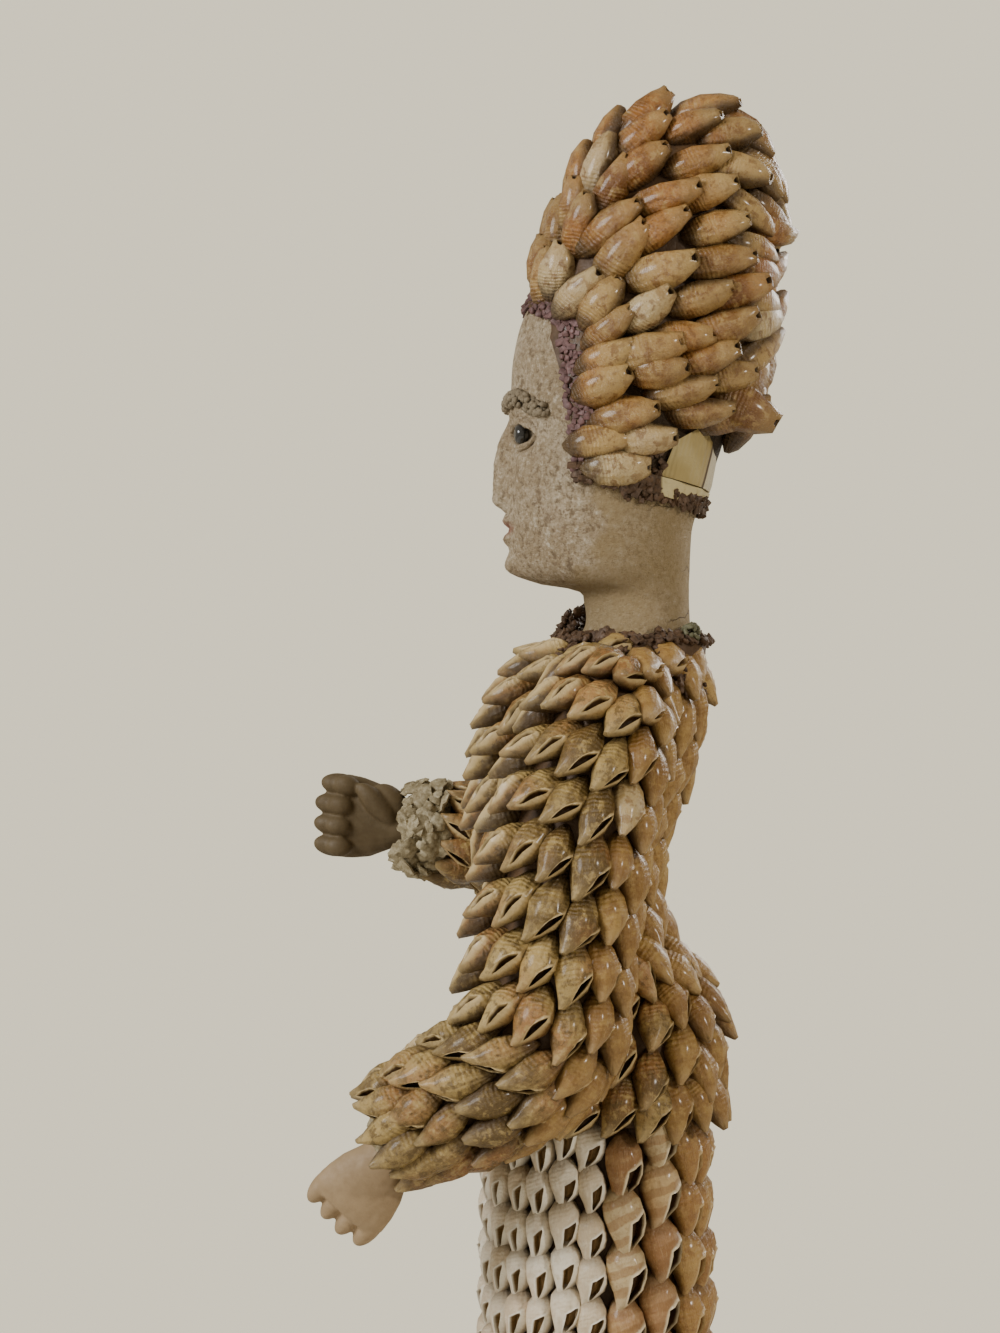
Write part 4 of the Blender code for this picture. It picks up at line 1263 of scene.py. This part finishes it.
def plaster_material():
    """Painted plaster: glitter specks, a browner neck, cracks, reddened lips and glue under the hair."""
    material, tree, shader = new_material("painted plaster")
    grain = tree.add(
        "ShaderNodeGroup", {"node_tree": GRAIN}, Light=PLASTER_LIGHT, Dark=PLASTER_DARK, Scale=800.0,
        Spread=0.9,
    ).outputs
    where = tree.place()
    uneven = tree.noise(where, 60.0, 3.0)
    worn = tree.noise(where, 420.0, 6.0, 0.8)
    colour = tree.mix(tree.remap(worn, 0.52, 0.6, 0.0, 0.85), grain["Color"], PIT_BROWN)
    colour = tree.mix(tree.remap(worn, 0.44, 0.34, 0.0, 0.8), colour, CRUST_PALE)
    colour = tree.mix(tree.remap(uneven, 0.55, 0.75, 0.0, 0.5), colour, STAIN_BROWN)
    neck = tree.attribute("neck")
    browned = tree.times(neck, tree.remap(uneven, 0.2, 0.6, 0.35, 0.75))
    colour = tree.mix(browned, colour, NECK_BROWN)
    shaken = tree.add("ShaderNodeTexNoise", Vector=where, Scale=200.0).outputs["Color"]
    crack_lines = tree.cells(tree.mix(0.006, where, shaken), 55.0, "DISTANCE_TO_EDGE")
    crack_here = tree.remap(tree.noise(where, 26.0, 1.0), 0.55, 0.62)
    crack = tree.times(tree.remap(crack_lines, 0.0, 0.02, 1.0, 0.0), crack_here)
    crack = tree.times(crack, tree.remap(neck, 0.0, 1.0, FACE_CRACKS, 1.0))
    colour = tree.mix(tree.times(crack, 0.8), colour, CRACK_BROWN)
    colour = tree.mix(tree.attribute("red"), colour, LIP_RED)
    colour = tree.mix(tree.attribute("under_hair"), colour, GLUE_BROWN)
    colour = tree.mix(tree.times(grain["Speck"], 0.5), colour, GLITTER)
    height = tree.minus(grain["Height"], tree.times(crack, 0.7))
    height = tree.plus(height, tree.times(worn, -2.2))
    dull = tree.remap(grain["Speck"], 0.0, 1.0, 0.72, 0.3)
    tree.surface(shader, colour, dull, height, 1.0, 0.0009)
    return material


def paint_head(head):
    """Layers for the head's paint: glue under the hair, the browner neck and the lips' red."""
    bm = edit(head)
    under, neck, red = (bm.verts.layers.float.new(name) for name in ("under_hair", "neck", "red"))
    for vert in bm.verts:
        x, y, z = vert.co
        vert[under] = min(max((depth_in_hair(vert.co) - 1.5) / 2.0, 0.0), 1.0)
        jaw_edge = STEP_Y + 2.5 * math.sin(z * 0.35) if z > CHIN_Z + 6.0 else STEP_Y - 8.0
        vert[neck] = min(max((y - jaw_edge) / 1.5, 0.0), 1.0)
        from_lips = math.hypot(x / 7.5, (z - MOUTH_Z) / 3.4)
        from_eye_corner = math.hypot((abs(x) - EYE_X + 5.2) / 1.6, (z - EYE_Z + 0.8) / 1.3)
        if y < 0:
            lip_red = min(max(1.7 - 1.6 * from_lips, 0.0), 0.75)
            vert[red] = max(lip_red, min(max(1.2 - from_eye_corner, 0.0), 0.6))
    bmesh.update_edit_mesh(head.data)
    deselect()


def make_eyelids(side, name, material):
    """Lumpy rolls of plaster over and under an eye."""
    parts = []
    for rise, thick, reach in EYELIDS:
        rings = []
        for i in range(13):
            share = i / 12
            x = EYE_X + reach * (2 * share - 1)
            z = EYE_Z + rise * math.sin(math.pi * share) ** 0.7 - 1.4 * (share - 0.3)
            radius = thick * (0.35 + 0.65 * math.sin(math.pi * share)) * (1 + 0.12 * math.sin(i * 2.3))
            middle = face_point(side * x, z) + Vector((0.0, 0.4, 0.0))
            rings.append((middle, Vector((0.0, -radius * 1.2, 0.0)), Vector((0.0, 0.0, radius))))
        parts.append(loft(f"{name}_lid", rings, 10))
    return settle(roughen(join(f"{name}_eyelids", parts), 0.25, 0.2, SEED), material, "painted_plaster")


def valve_material():
    """A smooth cream valve, with the dark line of its growth edge and a paler rim behind it."""
    material, tree, shader = new_material("cream valve")
    where = tree.place()
    _, y, z = tree.axes(where)
    edge = tree.plus(tree.times(z, VALVE_EDGE_SLOPE), VALVE_EDGE_Y * MM)
    bend = tree.times(tree.noise(where, 60.0, 1.0), 0.0014)
    behind = tree.minus(y, tree.plus(edge, bend))
    cloud = tree.noise(where, 70.0, 3.0)
    colour = tree.mix(tree.remap(cloud, 0.3, 0.7), (0.52, 0.42, 0.20), (0.40, 0.30, 0.11))
    colour = tree.mix(tree.remap(behind, -0.004, 0.0, 0.0, 0.35), colour, (0.35, 0.24, 0.08))
    colour = tree.mix(tree.remap(behind, 0.0, 0.0004), colour, VALVE_RIM)
    line = tree.remap(tree.maths("ABSOLUTE", behind), 0.0002, 0.0005, 1.0, 0.0)
    colour = tree.mix(line, colour, VALVE_LINE)
    dull = tree.remap(cloud, 0.3, 0.7, 0.22, 0.36)
    tree.surface(shader, colour, dull, tree.wave(behind, 4200.0), 0.25, 0.0003, 0.4)
    return material


def nape_band_material():
    """Dark glue, cream above the crumbs where the valves reach down over the band."""
    material, tree, shader = new_material("nape band")
    where = tree.place()
    _, y, z = tree.axes(where)
    fine = tree.noise(where, 420.0, 4.0, 0.7)
    colour = tree.mix(tree.remap(fine, 0.35, 0.65), (0.05, 0.025, 0.008), (0.12, 0.06, 0.02))
    above = tree.remap(tree.plus(z, tree.times(fine, 0.002)), 0.4785, 0.479)
    behind = tree.remap(y, 0.0195, 0.0205)
    cream = tree.mix(tree.remap(fine, 0.5, 0.7, 0.0, 0.5), (0.62, 0.52, 0.27), (0.42, 0.32, 0.13))
    colour = tree.mix(tree.times(above, behind), colour, cream)
    tree.surface(shader, colour, tree.remap(fine, 0.3, 0.7, 0.35, 0.6), fine, 0.6, 0.0006)
    return material


def wood_material():
    """Dark turned wood with grain along X, paler where dust lies on it."""
    material, tree, shader = new_material("turned wood")
    where = tree.place()
    grain = tree.noise(tree.squeeze(where, (30.0, 420.0, 420.0)), 1.0, 5.0, 0.65, 0.6)
    broad = tree.noise(tree.squeeze(where, (12.0, 60.0, 60.0)), 1.0, 2.0)
    colour = tree.mix(tree.remap(grain, 0.3, 0.7), (0.15, 0.075, 0.03), (0.055, 0.026, 0.011))
    colour = tree.mix(tree.remap(broad, 0.4, 0.65, 0.0, 0.45), colour, (0.19, 0.105, 0.05))
    dust = tree.remap(tree.noise(where, 90.0, 3.0), 0.5, 0.75, 0.0, 0.25)
    colour = tree.mix(dust, colour, DUST)
    tree.surface(shader, colour, tree.remap(grain, 0.3, 0.7, 0.4, 0.62), grain, 0.4, 0.0003, 0.15)
    return material


def dress_node(node, material):
    """Gives a solid that is shown as it is its own material."""
    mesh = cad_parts[node].data
    mesh.materials.clear()
    mesh.materials.append(material)


def head_surface(turn, z):
    """A point of the plain head and the way out of it. Turn 0 is the front."""

    def place(at_turn, at_z):
        front, back, half = smooth_rows(HEAD_SECTIONS, at_z)
        return Vector((
            half * math.sin(at_turn), (front + back) / 2 - (back - front) / 2 * math.cos(at_turn), at_z,
        ))

    point = place(turn, z)
    out = (place(turn + 0.02, z) - point).cross(place(turn, z + 0.3) - point).normalized()
    return point, out


# Crumbs of crushed shell and grit


def finish_model(obj):
    """Gives a crumb the layer that holds how dark each copy of it is."""
    bm = edit(obj)
    bm.verts.layers.float.new("tone")
    bmesh.update_edit_mesh(obj.data)
    deselect()
    return obj


def model_chip(name, half_sizes, seed):
    """A broken bit of shell: a block with bevelled, uneven edges."""
    deselect()
    bpy.ops.mesh.primitive_cube_add(size=2.0)
    chip = bpy.context.object
    chip.name = name
    bpy.ops.object.mode_set(mode="EDIT")
    bpy.ops.transform.resize(value=half_sizes)
    bpy.ops.mesh.bevel(offset=min(half_sizes) * 0.5, segments=1, affect="EDGES")
    bpy.ops.transform.vertex_random(offset=min(half_sizes) * 0.55, uniform=0.4, seed=seed)
    return finish_model(chip)


def model_grain(name, radius, seed):
    """A rounded grain of grit."""
    deselect()
    bpy.ops.mesh.primitive_ico_sphere_add(subdivisions=1, radius=radius * 1.08)
    grain = bpy.context.object
    grain.name = name
    bpy.ops.object.mode_set(mode="EDIT")
    bpy.ops.transform.vertex_random(offset=radius * 0.28, uniform=0.3, seed=seed)
    bpy.ops.transform.resize(value=(1.0, 0.85, 0.9))
    return finish_model(grain)


def model_flake(name, radius, seed):
    """A thin curved flake of shell with a ragged rim."""
    deselect()
    bpy.ops.mesh.primitive_circle_add(vertices=9, radius=radius, fill_type="TRIFAN")
    flake = bpy.context.object
    flake.name = name
    bpy.ops.object.mode_set(mode="EDIT")
    bpy.ops.mesh.subdivide(number_cuts=1)
    bm = bmesh.from_edit_mesh(flake.data)
    choose(flake, bm, "verts", lambda v: v.co.length < radius * 0.6)
    bpy.ops.transform.translate(value=(0.0, 0.0, radius * 0.35))
    bpy.ops.mesh.select_all(action="SELECT")
    bpy.ops.transform.vertex_random(offset=radius * 0.2, uniform=0.5, seed=seed)
    deselect()
    modifier(flake, "SOLIDIFY", thickness=0.5, offset=0.0)
    return finish_model(flake)


def scatter_on_head(rack, models, count, spacing, z_range, test, sink):
    """Crumbs over the part of the head that passes a test, none closer than a spacing."""
    laid = []
    tries = 0
    while len(laid) < count and tries < 60000:
        tries += 1
        point, out = head_surface(rack.chance.uniform(-math.pi, math.pi), rack.chance.uniform(*z_range))
        if not test(point) or any((point - other).length < spacing for other in laid):
            continue
        laid.append(point)
        rack.crumb(models, point + out * rack.about(sink, 0.35), out)


def lay_hairline(chips):
    """Mauve chips along the hairline, turning into brown ones behind the jaw."""
    mauve, brown = Rack(SEED + 11), Rack(SEED + 12)

    def in_band(point):
        width = 4.8 + 1.2 * math.sin(point.z * 0.7) + 0.8 * math.sin(point.x * 0.9)
        return -0.6 < depth_in_hair(point) < (width if point.z > HAIRLINE_TURNS_BROWN else 0.7 * width)

    scatter_on_head(mauve, chips, 520, 1.45, (HAIRLINE_TURNS_BROWN - 1.0, 549.0), in_band, 1.3)
    scatter_on_head(brown, chips, 480, 1.4, (473.0, HAIRLINE_TURNS_BROWN + 1.0), in_band, 1.8)
    for _ in range(200):
        side = brown.chance.choice((-1, 1))
        y, z = brown.chance.uniform(8.0, 20.5), brown.chance.uniform(478.0, 500.0)
        place = Vector((side * (head_half_width(y, z) + brown.about(1.2, 0.5)), y, z))
        brown.crumb(chips, place, Vector((side, 0.15, 0.0)).normalized(), 0.8)
    return mauve, brown


def lay_collar(chips, rack):
    """Dark crumbs piled round the neckline and strewn over the shoulders below it."""
    pile_turn = math.radians(COLLAR_PILE_TURN_DEG)
    for number in range(COLLAR_CRUMBS + PILE_CRUMBS):
        piled = number >= COLLAR_CRUMBS
        turn = pile_turn + rack.about(0.0, 0.45) if piled else rack.chance.uniform(0, 2 * math.pi)
        off = rack.chance.uniform(-2.2, 4.2)
        pile = COLLAR_PILE * max(0.0, math.cos(turn - pile_turn)) ** 6
        ragged = 1.0 + 0.35 * math.sin(turn * 7.0) + 0.25 * math.sin(turn * 17.0 + 1.0)
        crown = (2.6 * ragged + pile) * (1.0 - (max(off - 0.6, 0.0) / 4.2) ** 2)
        height = rack.chance.uniform(-0.2, 1.0) * crown
        out = Vector((math.sin(turn), -math.cos(turn), 0.9))
        x = (COLLAR_HALF_WIDTH + off) * math.sin(turn)
        y = COLLAR_Y - (COLLAR_HALF_DEPTH + off) * math.cos(turn)
        rack.crumb(chips, Vector((x, y, NECKLINE_Z + height)), out.normalized())
    for _ in range(SHOULDER_CRUMBS):
        turn = rack.chance.uniform(0, 2 * math.pi)
        reach = 0.075 if math.cos(turn) < 0.3 else 0.11
        place, out, _ = surface_frame(bodice_section, rack.chance.uniform(0.0, reach), turn)
        rack.crumb(chips, place + out * rack.about(0.3, 0.9), out)


def lay_nape_bead(grains):
    """A lump of greenish grit on the neckline, behind the left shoulder."""
    rack = Rack(SEED + 18)
    for _ in range(60):
        out = Vector([rack.about(0.0, 1.0) for _ in range(3)]).normalized()
        rack.crumb(grains, NAPE_BEAD + out * rack.about(2.6, 0.5), out)
    return rack


def collar_bed(material):
    """The dark glue under the collar's crumbs."""
    rings = []
    for off, height in ((2.2, -4.4), (2.4, -1.6), (1.6, 0.6), (0.0, 1.2), (-2.4, 0.6), (-3.6, -3.0)):
        rings.append((
            Vector((0.0, COLLAR_Y, NECKLINE_Z + height)),
            Vector((COLLAR_HALF_WIDTH + off, 0.0, 0.0)), Vector((0.0, COLLAR_HALF_DEPTH + off, 0.0)),
        ))
    bed = roughen(loft("collar_bed", rings, 48), 0.5, 0.3, SEED)
    return settle(bed, material, "brown_crumbs", "collar_crumbs")


def lay_brow(grains, side, seed):
    """A roll of grit laid in an arch over one eye."""
    rack = Rack(seed)
    for _ in range(BROW_GRAINS):
        share = rack.chance.random()
        x = BROW_START_X + BROW_LENGTH * share
        z = BROW_Z + 1.5 + 3.0 * math.sin(math.pi * min(share * 1.15, 1.0)) - 2.5 * share
        around = rack.chance.uniform(-0.5, 1.5) * math.pi
        size = BROW_RADIUS * (0.75 + 0.35 * math.sin(math.pi * share))
        out = Vector((side * 0.25, -math.cos(around), math.sin(around))).normalized()
        rack.crumb(grains, face_point(side * x, z) + Vector((0, -1.0, 0)) + out * size * 0.75, out)
    return rack


def model_eye(side):
    """A black bead with a flattened front."""
    deselect()
    bpy.ops.mesh.primitive_uv_sphere_add(segments=28, ring_count=16, radius=BEAD_RADIUS)
    bead = bpy.context.object
    bpy.ops.object.mode_set(mode="EDIT")
    bpy.ops.transform.resize(value=(1.2, 0.8, 1.0))
    bm = bmesh.from_edit_mesh(bead.data)
    choose(bead, bm, "faces", lambda face: face.normal.y < -0.9)
    bpy.ops.transform.translate(value=(0.0, 0.35, 0.0))
    bpy.ops.mesh.select_all(action="SELECT")
    bpy.ops.transform.vertex_random(offset=0.06, uniform=0.2, seed=4)
    deselect()
    middle = face_point(side * EYE_X, EYE_Z) + Vector((0.0, BEAD_SUNK, 0.0))
    bead.data.transform(Matrix.Translation(middle))
    return bead


# Hands


def hand_frame(side):
    """Where a hand starts, and its directions: along it, out of its back and across it."""
    arm = ARM_ENDS[side]
    wrist = sleeve_section(arm["sleeve"])(1.0)[0] + Vector(arm["wrist_shift"])
    along = Vector(arm["points"]).normalized()
    back = Vector(arm["back_faces"])
    back = (back - along * back.dot(along)).normalized()
    return wrist, along, back, along.cross(back)


def hand_lump(name, frame_of_hand, place, half, tilt_deg=0.0):
    """A rounded part of a hand. place and half are along, across and out of its back."""
    wrist, along, back, across = frame_of_hand
    tilt = math.radians(tilt_deg)
    turned_along = along * math.cos(tilt) + across * math.sin(tilt)
    turned_across = across * math.cos(tilt) - along * math.sin(tilt)
    deselect()
    bpy.ops.mesh.primitive_uv_sphere_add(segments=20, ring_count=12, radius=1.0)
    lump = bpy.context.object
    lump.name = name
    middle = wrist + along * place[0] + across * place[1] + back * place[2]
    stretched = Matrix((turned_across * half[1], back * half[2], turned_along * half[0])).transposed()
    lump.data.transform(Matrix.Translation(middle) @ stretched.to_4x4())
    return lump


def make_hand(side, material):
    """A plaster hand: wrist, palm, four stubby fingers and a thumb, run together as wet plaster is."""
    arm = ARM_ENDS[side]
    hand = hand_frame(side)
    wrist, along, back, across = hand
    wrist_length, palm, half_width = arm["wrist"], arm["palm"], arm["half_width"]
    stations = [
        (-4.0, WRIST_RADIUS, WRIST_RADIUS, 0.0),
        (wrist_length * 0.5, WRIST_RADIUS, WRIST_RADIUS * 0.97, 0.0),
        (wrist_length, WRIST_RADIUS * 1.02, WRIST_RADIUS * 0.92, 0.0),
        (wrist_length + palm * 0.35, half_width * 0.88, 6.4, 0.3),
        (wrist_length + palm * 0.6, half_width * 0.97, 6.0, 0.3),
        (wrist_length + palm * 0.85, half_width, 5.2, 0.0),
        (wrist_length + palm, half_width * 0.9, 4.2, -0.4),
    ]
    rings = [
        (wrist + along * at + back * rise, across * wide, back * thick)
        for at, wide, thick, rise in stations
    ]
    parts = [loft(f"{side}_palm", rings, 24)]
    pitch = half_width * 2 / 4
    for finger in range(4):
        offset = (finger - 1.5) * pitch * 0.97
        reach = wrist_length + palm - abs(finger - 1.2) * FINGER_STEP_BACK
        half = (FINGER_LENGTH, pitch * 0.53, FINGER_THICKNESS)
        parts.append(hand_lump(f"{side}_finger", hand, (reach, offset, FINGER_BELOW), half))
        curled = (reach - 2.0, offset, FINGER_BELOW - 3.2)
        parts.append(hand_lump(f"{side}_fingertip", hand, curled, (4.6, pitch * 0.48, 3.0)))
    thumb_along, thumb_across, thumb_out = arm["thumb"]
    thumb_at = (wrist_length + thumb_along, thumb_across, thumb_out)
    parts.append(hand_lump(f"{side}_thumb", hand, thumb_at, THUMB_HALF, THUMB_TILT_DEG))
    ball = (wrist_length + thumb_along - 5.0, thumb_across * 1.15, thumb_out * 0.55)
    parts.append(hand_lump(f"{side}_thumb_ball", hand, ball, (8.0, 5.2, 4.6), THUMB_TILT_DEG))
    made = join(f"{side}_plaster_hand", parts)
    modifier(made, "REMESH", mode="VOXEL", voxel_size=0.55)
    modifier(made, "SMOOTH", factor=0.5, iterations=5)
    return settle(made, material, "hand_plaster", f"{side}_hand", angle=80)


def make_cuff(side, flakes, material):
    """A frill of pale flakes stuck round a wrist, over a gritty core."""
    arm = ARM_ENDS[side]
    wrist, along, back, across = hand_frame(side)
    start, length, radius = arm["cuff"]
    puff, flake_spread = arm["frill"]
    rings = [
        (wrist + along * (start + length * at), across * radius * wide, back * radius * wide)
        for at, wide in ((0.0, 0.72), (0.35, 0.84), (0.75, 0.86), (1.0, 0.68))
    ]
    settle(loft(f"{side}_cuff_core", rings, 28), material, "pale_crumbs", f"{side}_cuff")
    rack = Rack(SEED + (21 if side == "left" else 22))
    for _ in range(int(9 * length) + 30):
        turn = rack.chance.uniform(0, 2 * math.pi)
        at = rack.chance.random()
        around = across * math.sin(turn) + back * math.cos(turn)
        swell = 0.84 + puff * math.sin(math.pi * at) * rack.chance.random()
        point = wrist + along * (start + length * at) + around * radius * swell
        size = 0.8 + flake_spread * rack.chance.random() ** 2
        rack.crumb(flakes, point, (around + along * rack.about(0.2, 0.6)).normalized(), size)
    return rack.finish(f"{side}_cuff_frill", material, "pale_crumbs")


def make_base(material):
    rings = [
        (Vector((0, 0, z)), Vector((radius, 0, 0)), Vector((0, radius, 0))) for radius, z in BASE_PROFILE
    ]
    return settle(loft("turned_base", rings, 128), material, "turned_wood", "base", angle=35)


# Camera and light


def make_camera():
    data = bpy.data.cameras.new("camera")
    data.lens = CAMERA_LENS
    data.sensor_width = 36.0
    data.clip_start = 0.01
    camera = bpy.data.objects.new("camera", data)
    camera.location = CAMERA_PLACE
    camera.rotation_euler = (math.pi / 2, 0.0, math.pi / 2)
    bpy.context.scene.collection.objects.link(camera)
    bpy.context.scene.camera = camera


def add_light(name, place, size, power, colour):
    data = bpy.data.lights.new(name, "AREA")
    data.shape = "DISK"
    data.size = size
    data.energy = power
    data.color = colour
    light = bpy.data.objects.new(name, data)
    light.location = place
    light.rotation_euler = (Vector(LAMPS_AIM_AT) - light.location).to_track_quat("-Z", "Y").to_euler()
    bpy.context.scene.collection.objects.link(light)


def make_stage(floor_material):
    deselect()
    bpy.ops.mesh.primitive_circle_add(vertices=96, radius=FLOOR_RADIUS, fill_type="NGON")
    floor = bpy.context.object
    floor.name = "floor"
    floor.data.materials.append(floor_material)
    world = bpy.data.worlds.new("studio")
    bpy.context.scene.world = world
    world.use_nodes = True
    tree = Tree(world.node_tree)
    background = world.node_tree.nodes["Background"]
    seen = tree.add("ShaderNodeLightPath").outputs["Is Camera Ray"]
    tree.feed(background.inputs["Color"], tree.mix(seen, ROOM_LIGHT, WALL))
    tree.feed(background.inputs["Strength"], tree.remap(seen, 0.0, 1.0, ROOM_STRENGTH, 1.0))
    for lamp in LAMPS:
        add_light(*lamp)


def dress_garments(look):
    """Lays the shells of the skirt, bodice, sleeves and hair, and the glue beds under them."""
    tan, dog, dove = model_shells()
    skirt_looks = (("white", "white whelk", "white_shell"), ("banded", "banded whelk", "tan_shell"),
                   ("amber", "amber whelk", "russet_shell"))
    for rack, (name, shell, slot) in zip(lay_skirt(dog), skirt_looks):
        rack.finish(f"skirt_{name}_whelks", look[shell], slot)
    for name, (khaki, amber) in (
        ("bodice", lay_bodice(tan)),
        ("left_sleeve", lay_sleeve(tan, left_sleeve_section, LEFT_SLEEVE_COLUMNS, 1, SEED + 4)),
        ("right_sleeve", lay_sleeve(tan, right_sleeve_section, RIGHT_SLEEVE_COLUMNS, -1, SEED + 5)),
    ):
        khaki.finish(f"{name}_tan_whelks", look["tan whelk"], "tan_shell")
        amber.finish(f"{name}_amber_whelks", look["amber slender whelk"], "russet_shell")
    lay_hair(dove).finish("hair_dove_shells", look["dove shell"], "russet_shell")
    for model in (*tan, *dog, *dove):
        bpy.data.objects.remove(model)
    for name, section in (
        ("skirt", skirt_section), ("bodice", bodice_section),
        ("left_sleeve", left_sleeve_section), ("right_sleeve", right_sleeve_section),
    ):
        garment_bed(f"{name}_bed", section, look["dark glue"], "brown_crumbs", name)
    make_hair_bed(look["dark glue"])


def dress_head_and_hands(look):
    """Models the head, the crumbs and grit stuck to it, the eyes, the hands and the cuffs."""
    plaster = plaster_material()
    make_head(plaster)
    chips = [model_chip(f"chip_model_{i}", half, i) for i, half in enumerate(CHIP_HALF_SIZES)]
    grains = [model_grain(f"grain_model_{i}", GRAIN_RADIUS, i) for i in range(2)]
    flakes = [model_flake(f"flake_model_{i}", FLAKE_RADIUS, i + 3) for i in range(3)]
    mauve, brown = lay_hairline(chips)
    lay_collar(chips, brown)
    mauve.finish("hairline_chips", look["mauve crumbs"], "purple_crumbs")
    brown.finish("brown_chips", look["brown crumbs"], "brown_crumbs")
    lay_nape_bead(grains).finish("nape_bead_grit", look["green grit"], "grey_grit")
    # The right hand gets the darker plaster, which is painted shade
    for number, (side, name, hand) in enumerate((
        (1, "left", "hand plaster"), (-1, "right", "dusty hand plaster in painted shade"),
    )):
        brow = lay_brow(grains, side, SEED + 15 + number)
        brow.finish(f"{name}_brow_grit", look["grey grit"], "grey_grit", f"{name}_eyebrow")
        bead = settle(model_eye(side), look["black bead"], "black_bead", f"{name}_eye")
        bead.name = f"{name}_bead_eye"
        make_eyelids(side, name, plaster)
        make_hand(name, look[hand])
        make_cuff(name, flakes, look["pale crumbs"])
    for model in (*chips, *grains, *flakes):
        bpy.data.objects.remove(model)


def main():
    look = {name: grainy_material(name, *values) for name, values in GRAINY_LOOKS.items()}
    look.update({name: shell_material(name, *values) for name, values in SHELL_LOOKS.items()})
    make_camera()
    make_stage(look["pale floor"])
    dress_garments(look)
    dress_head_and_hands(look)
    make_base(wood_material())
    collar_bed(look["dark glue"])
    dress_node("hairline_band", nape_band_material())
    cream = valve_material()
    for side in ("left", "right"):
        dress_node(f"{side}_nape_valve", cream)


main()
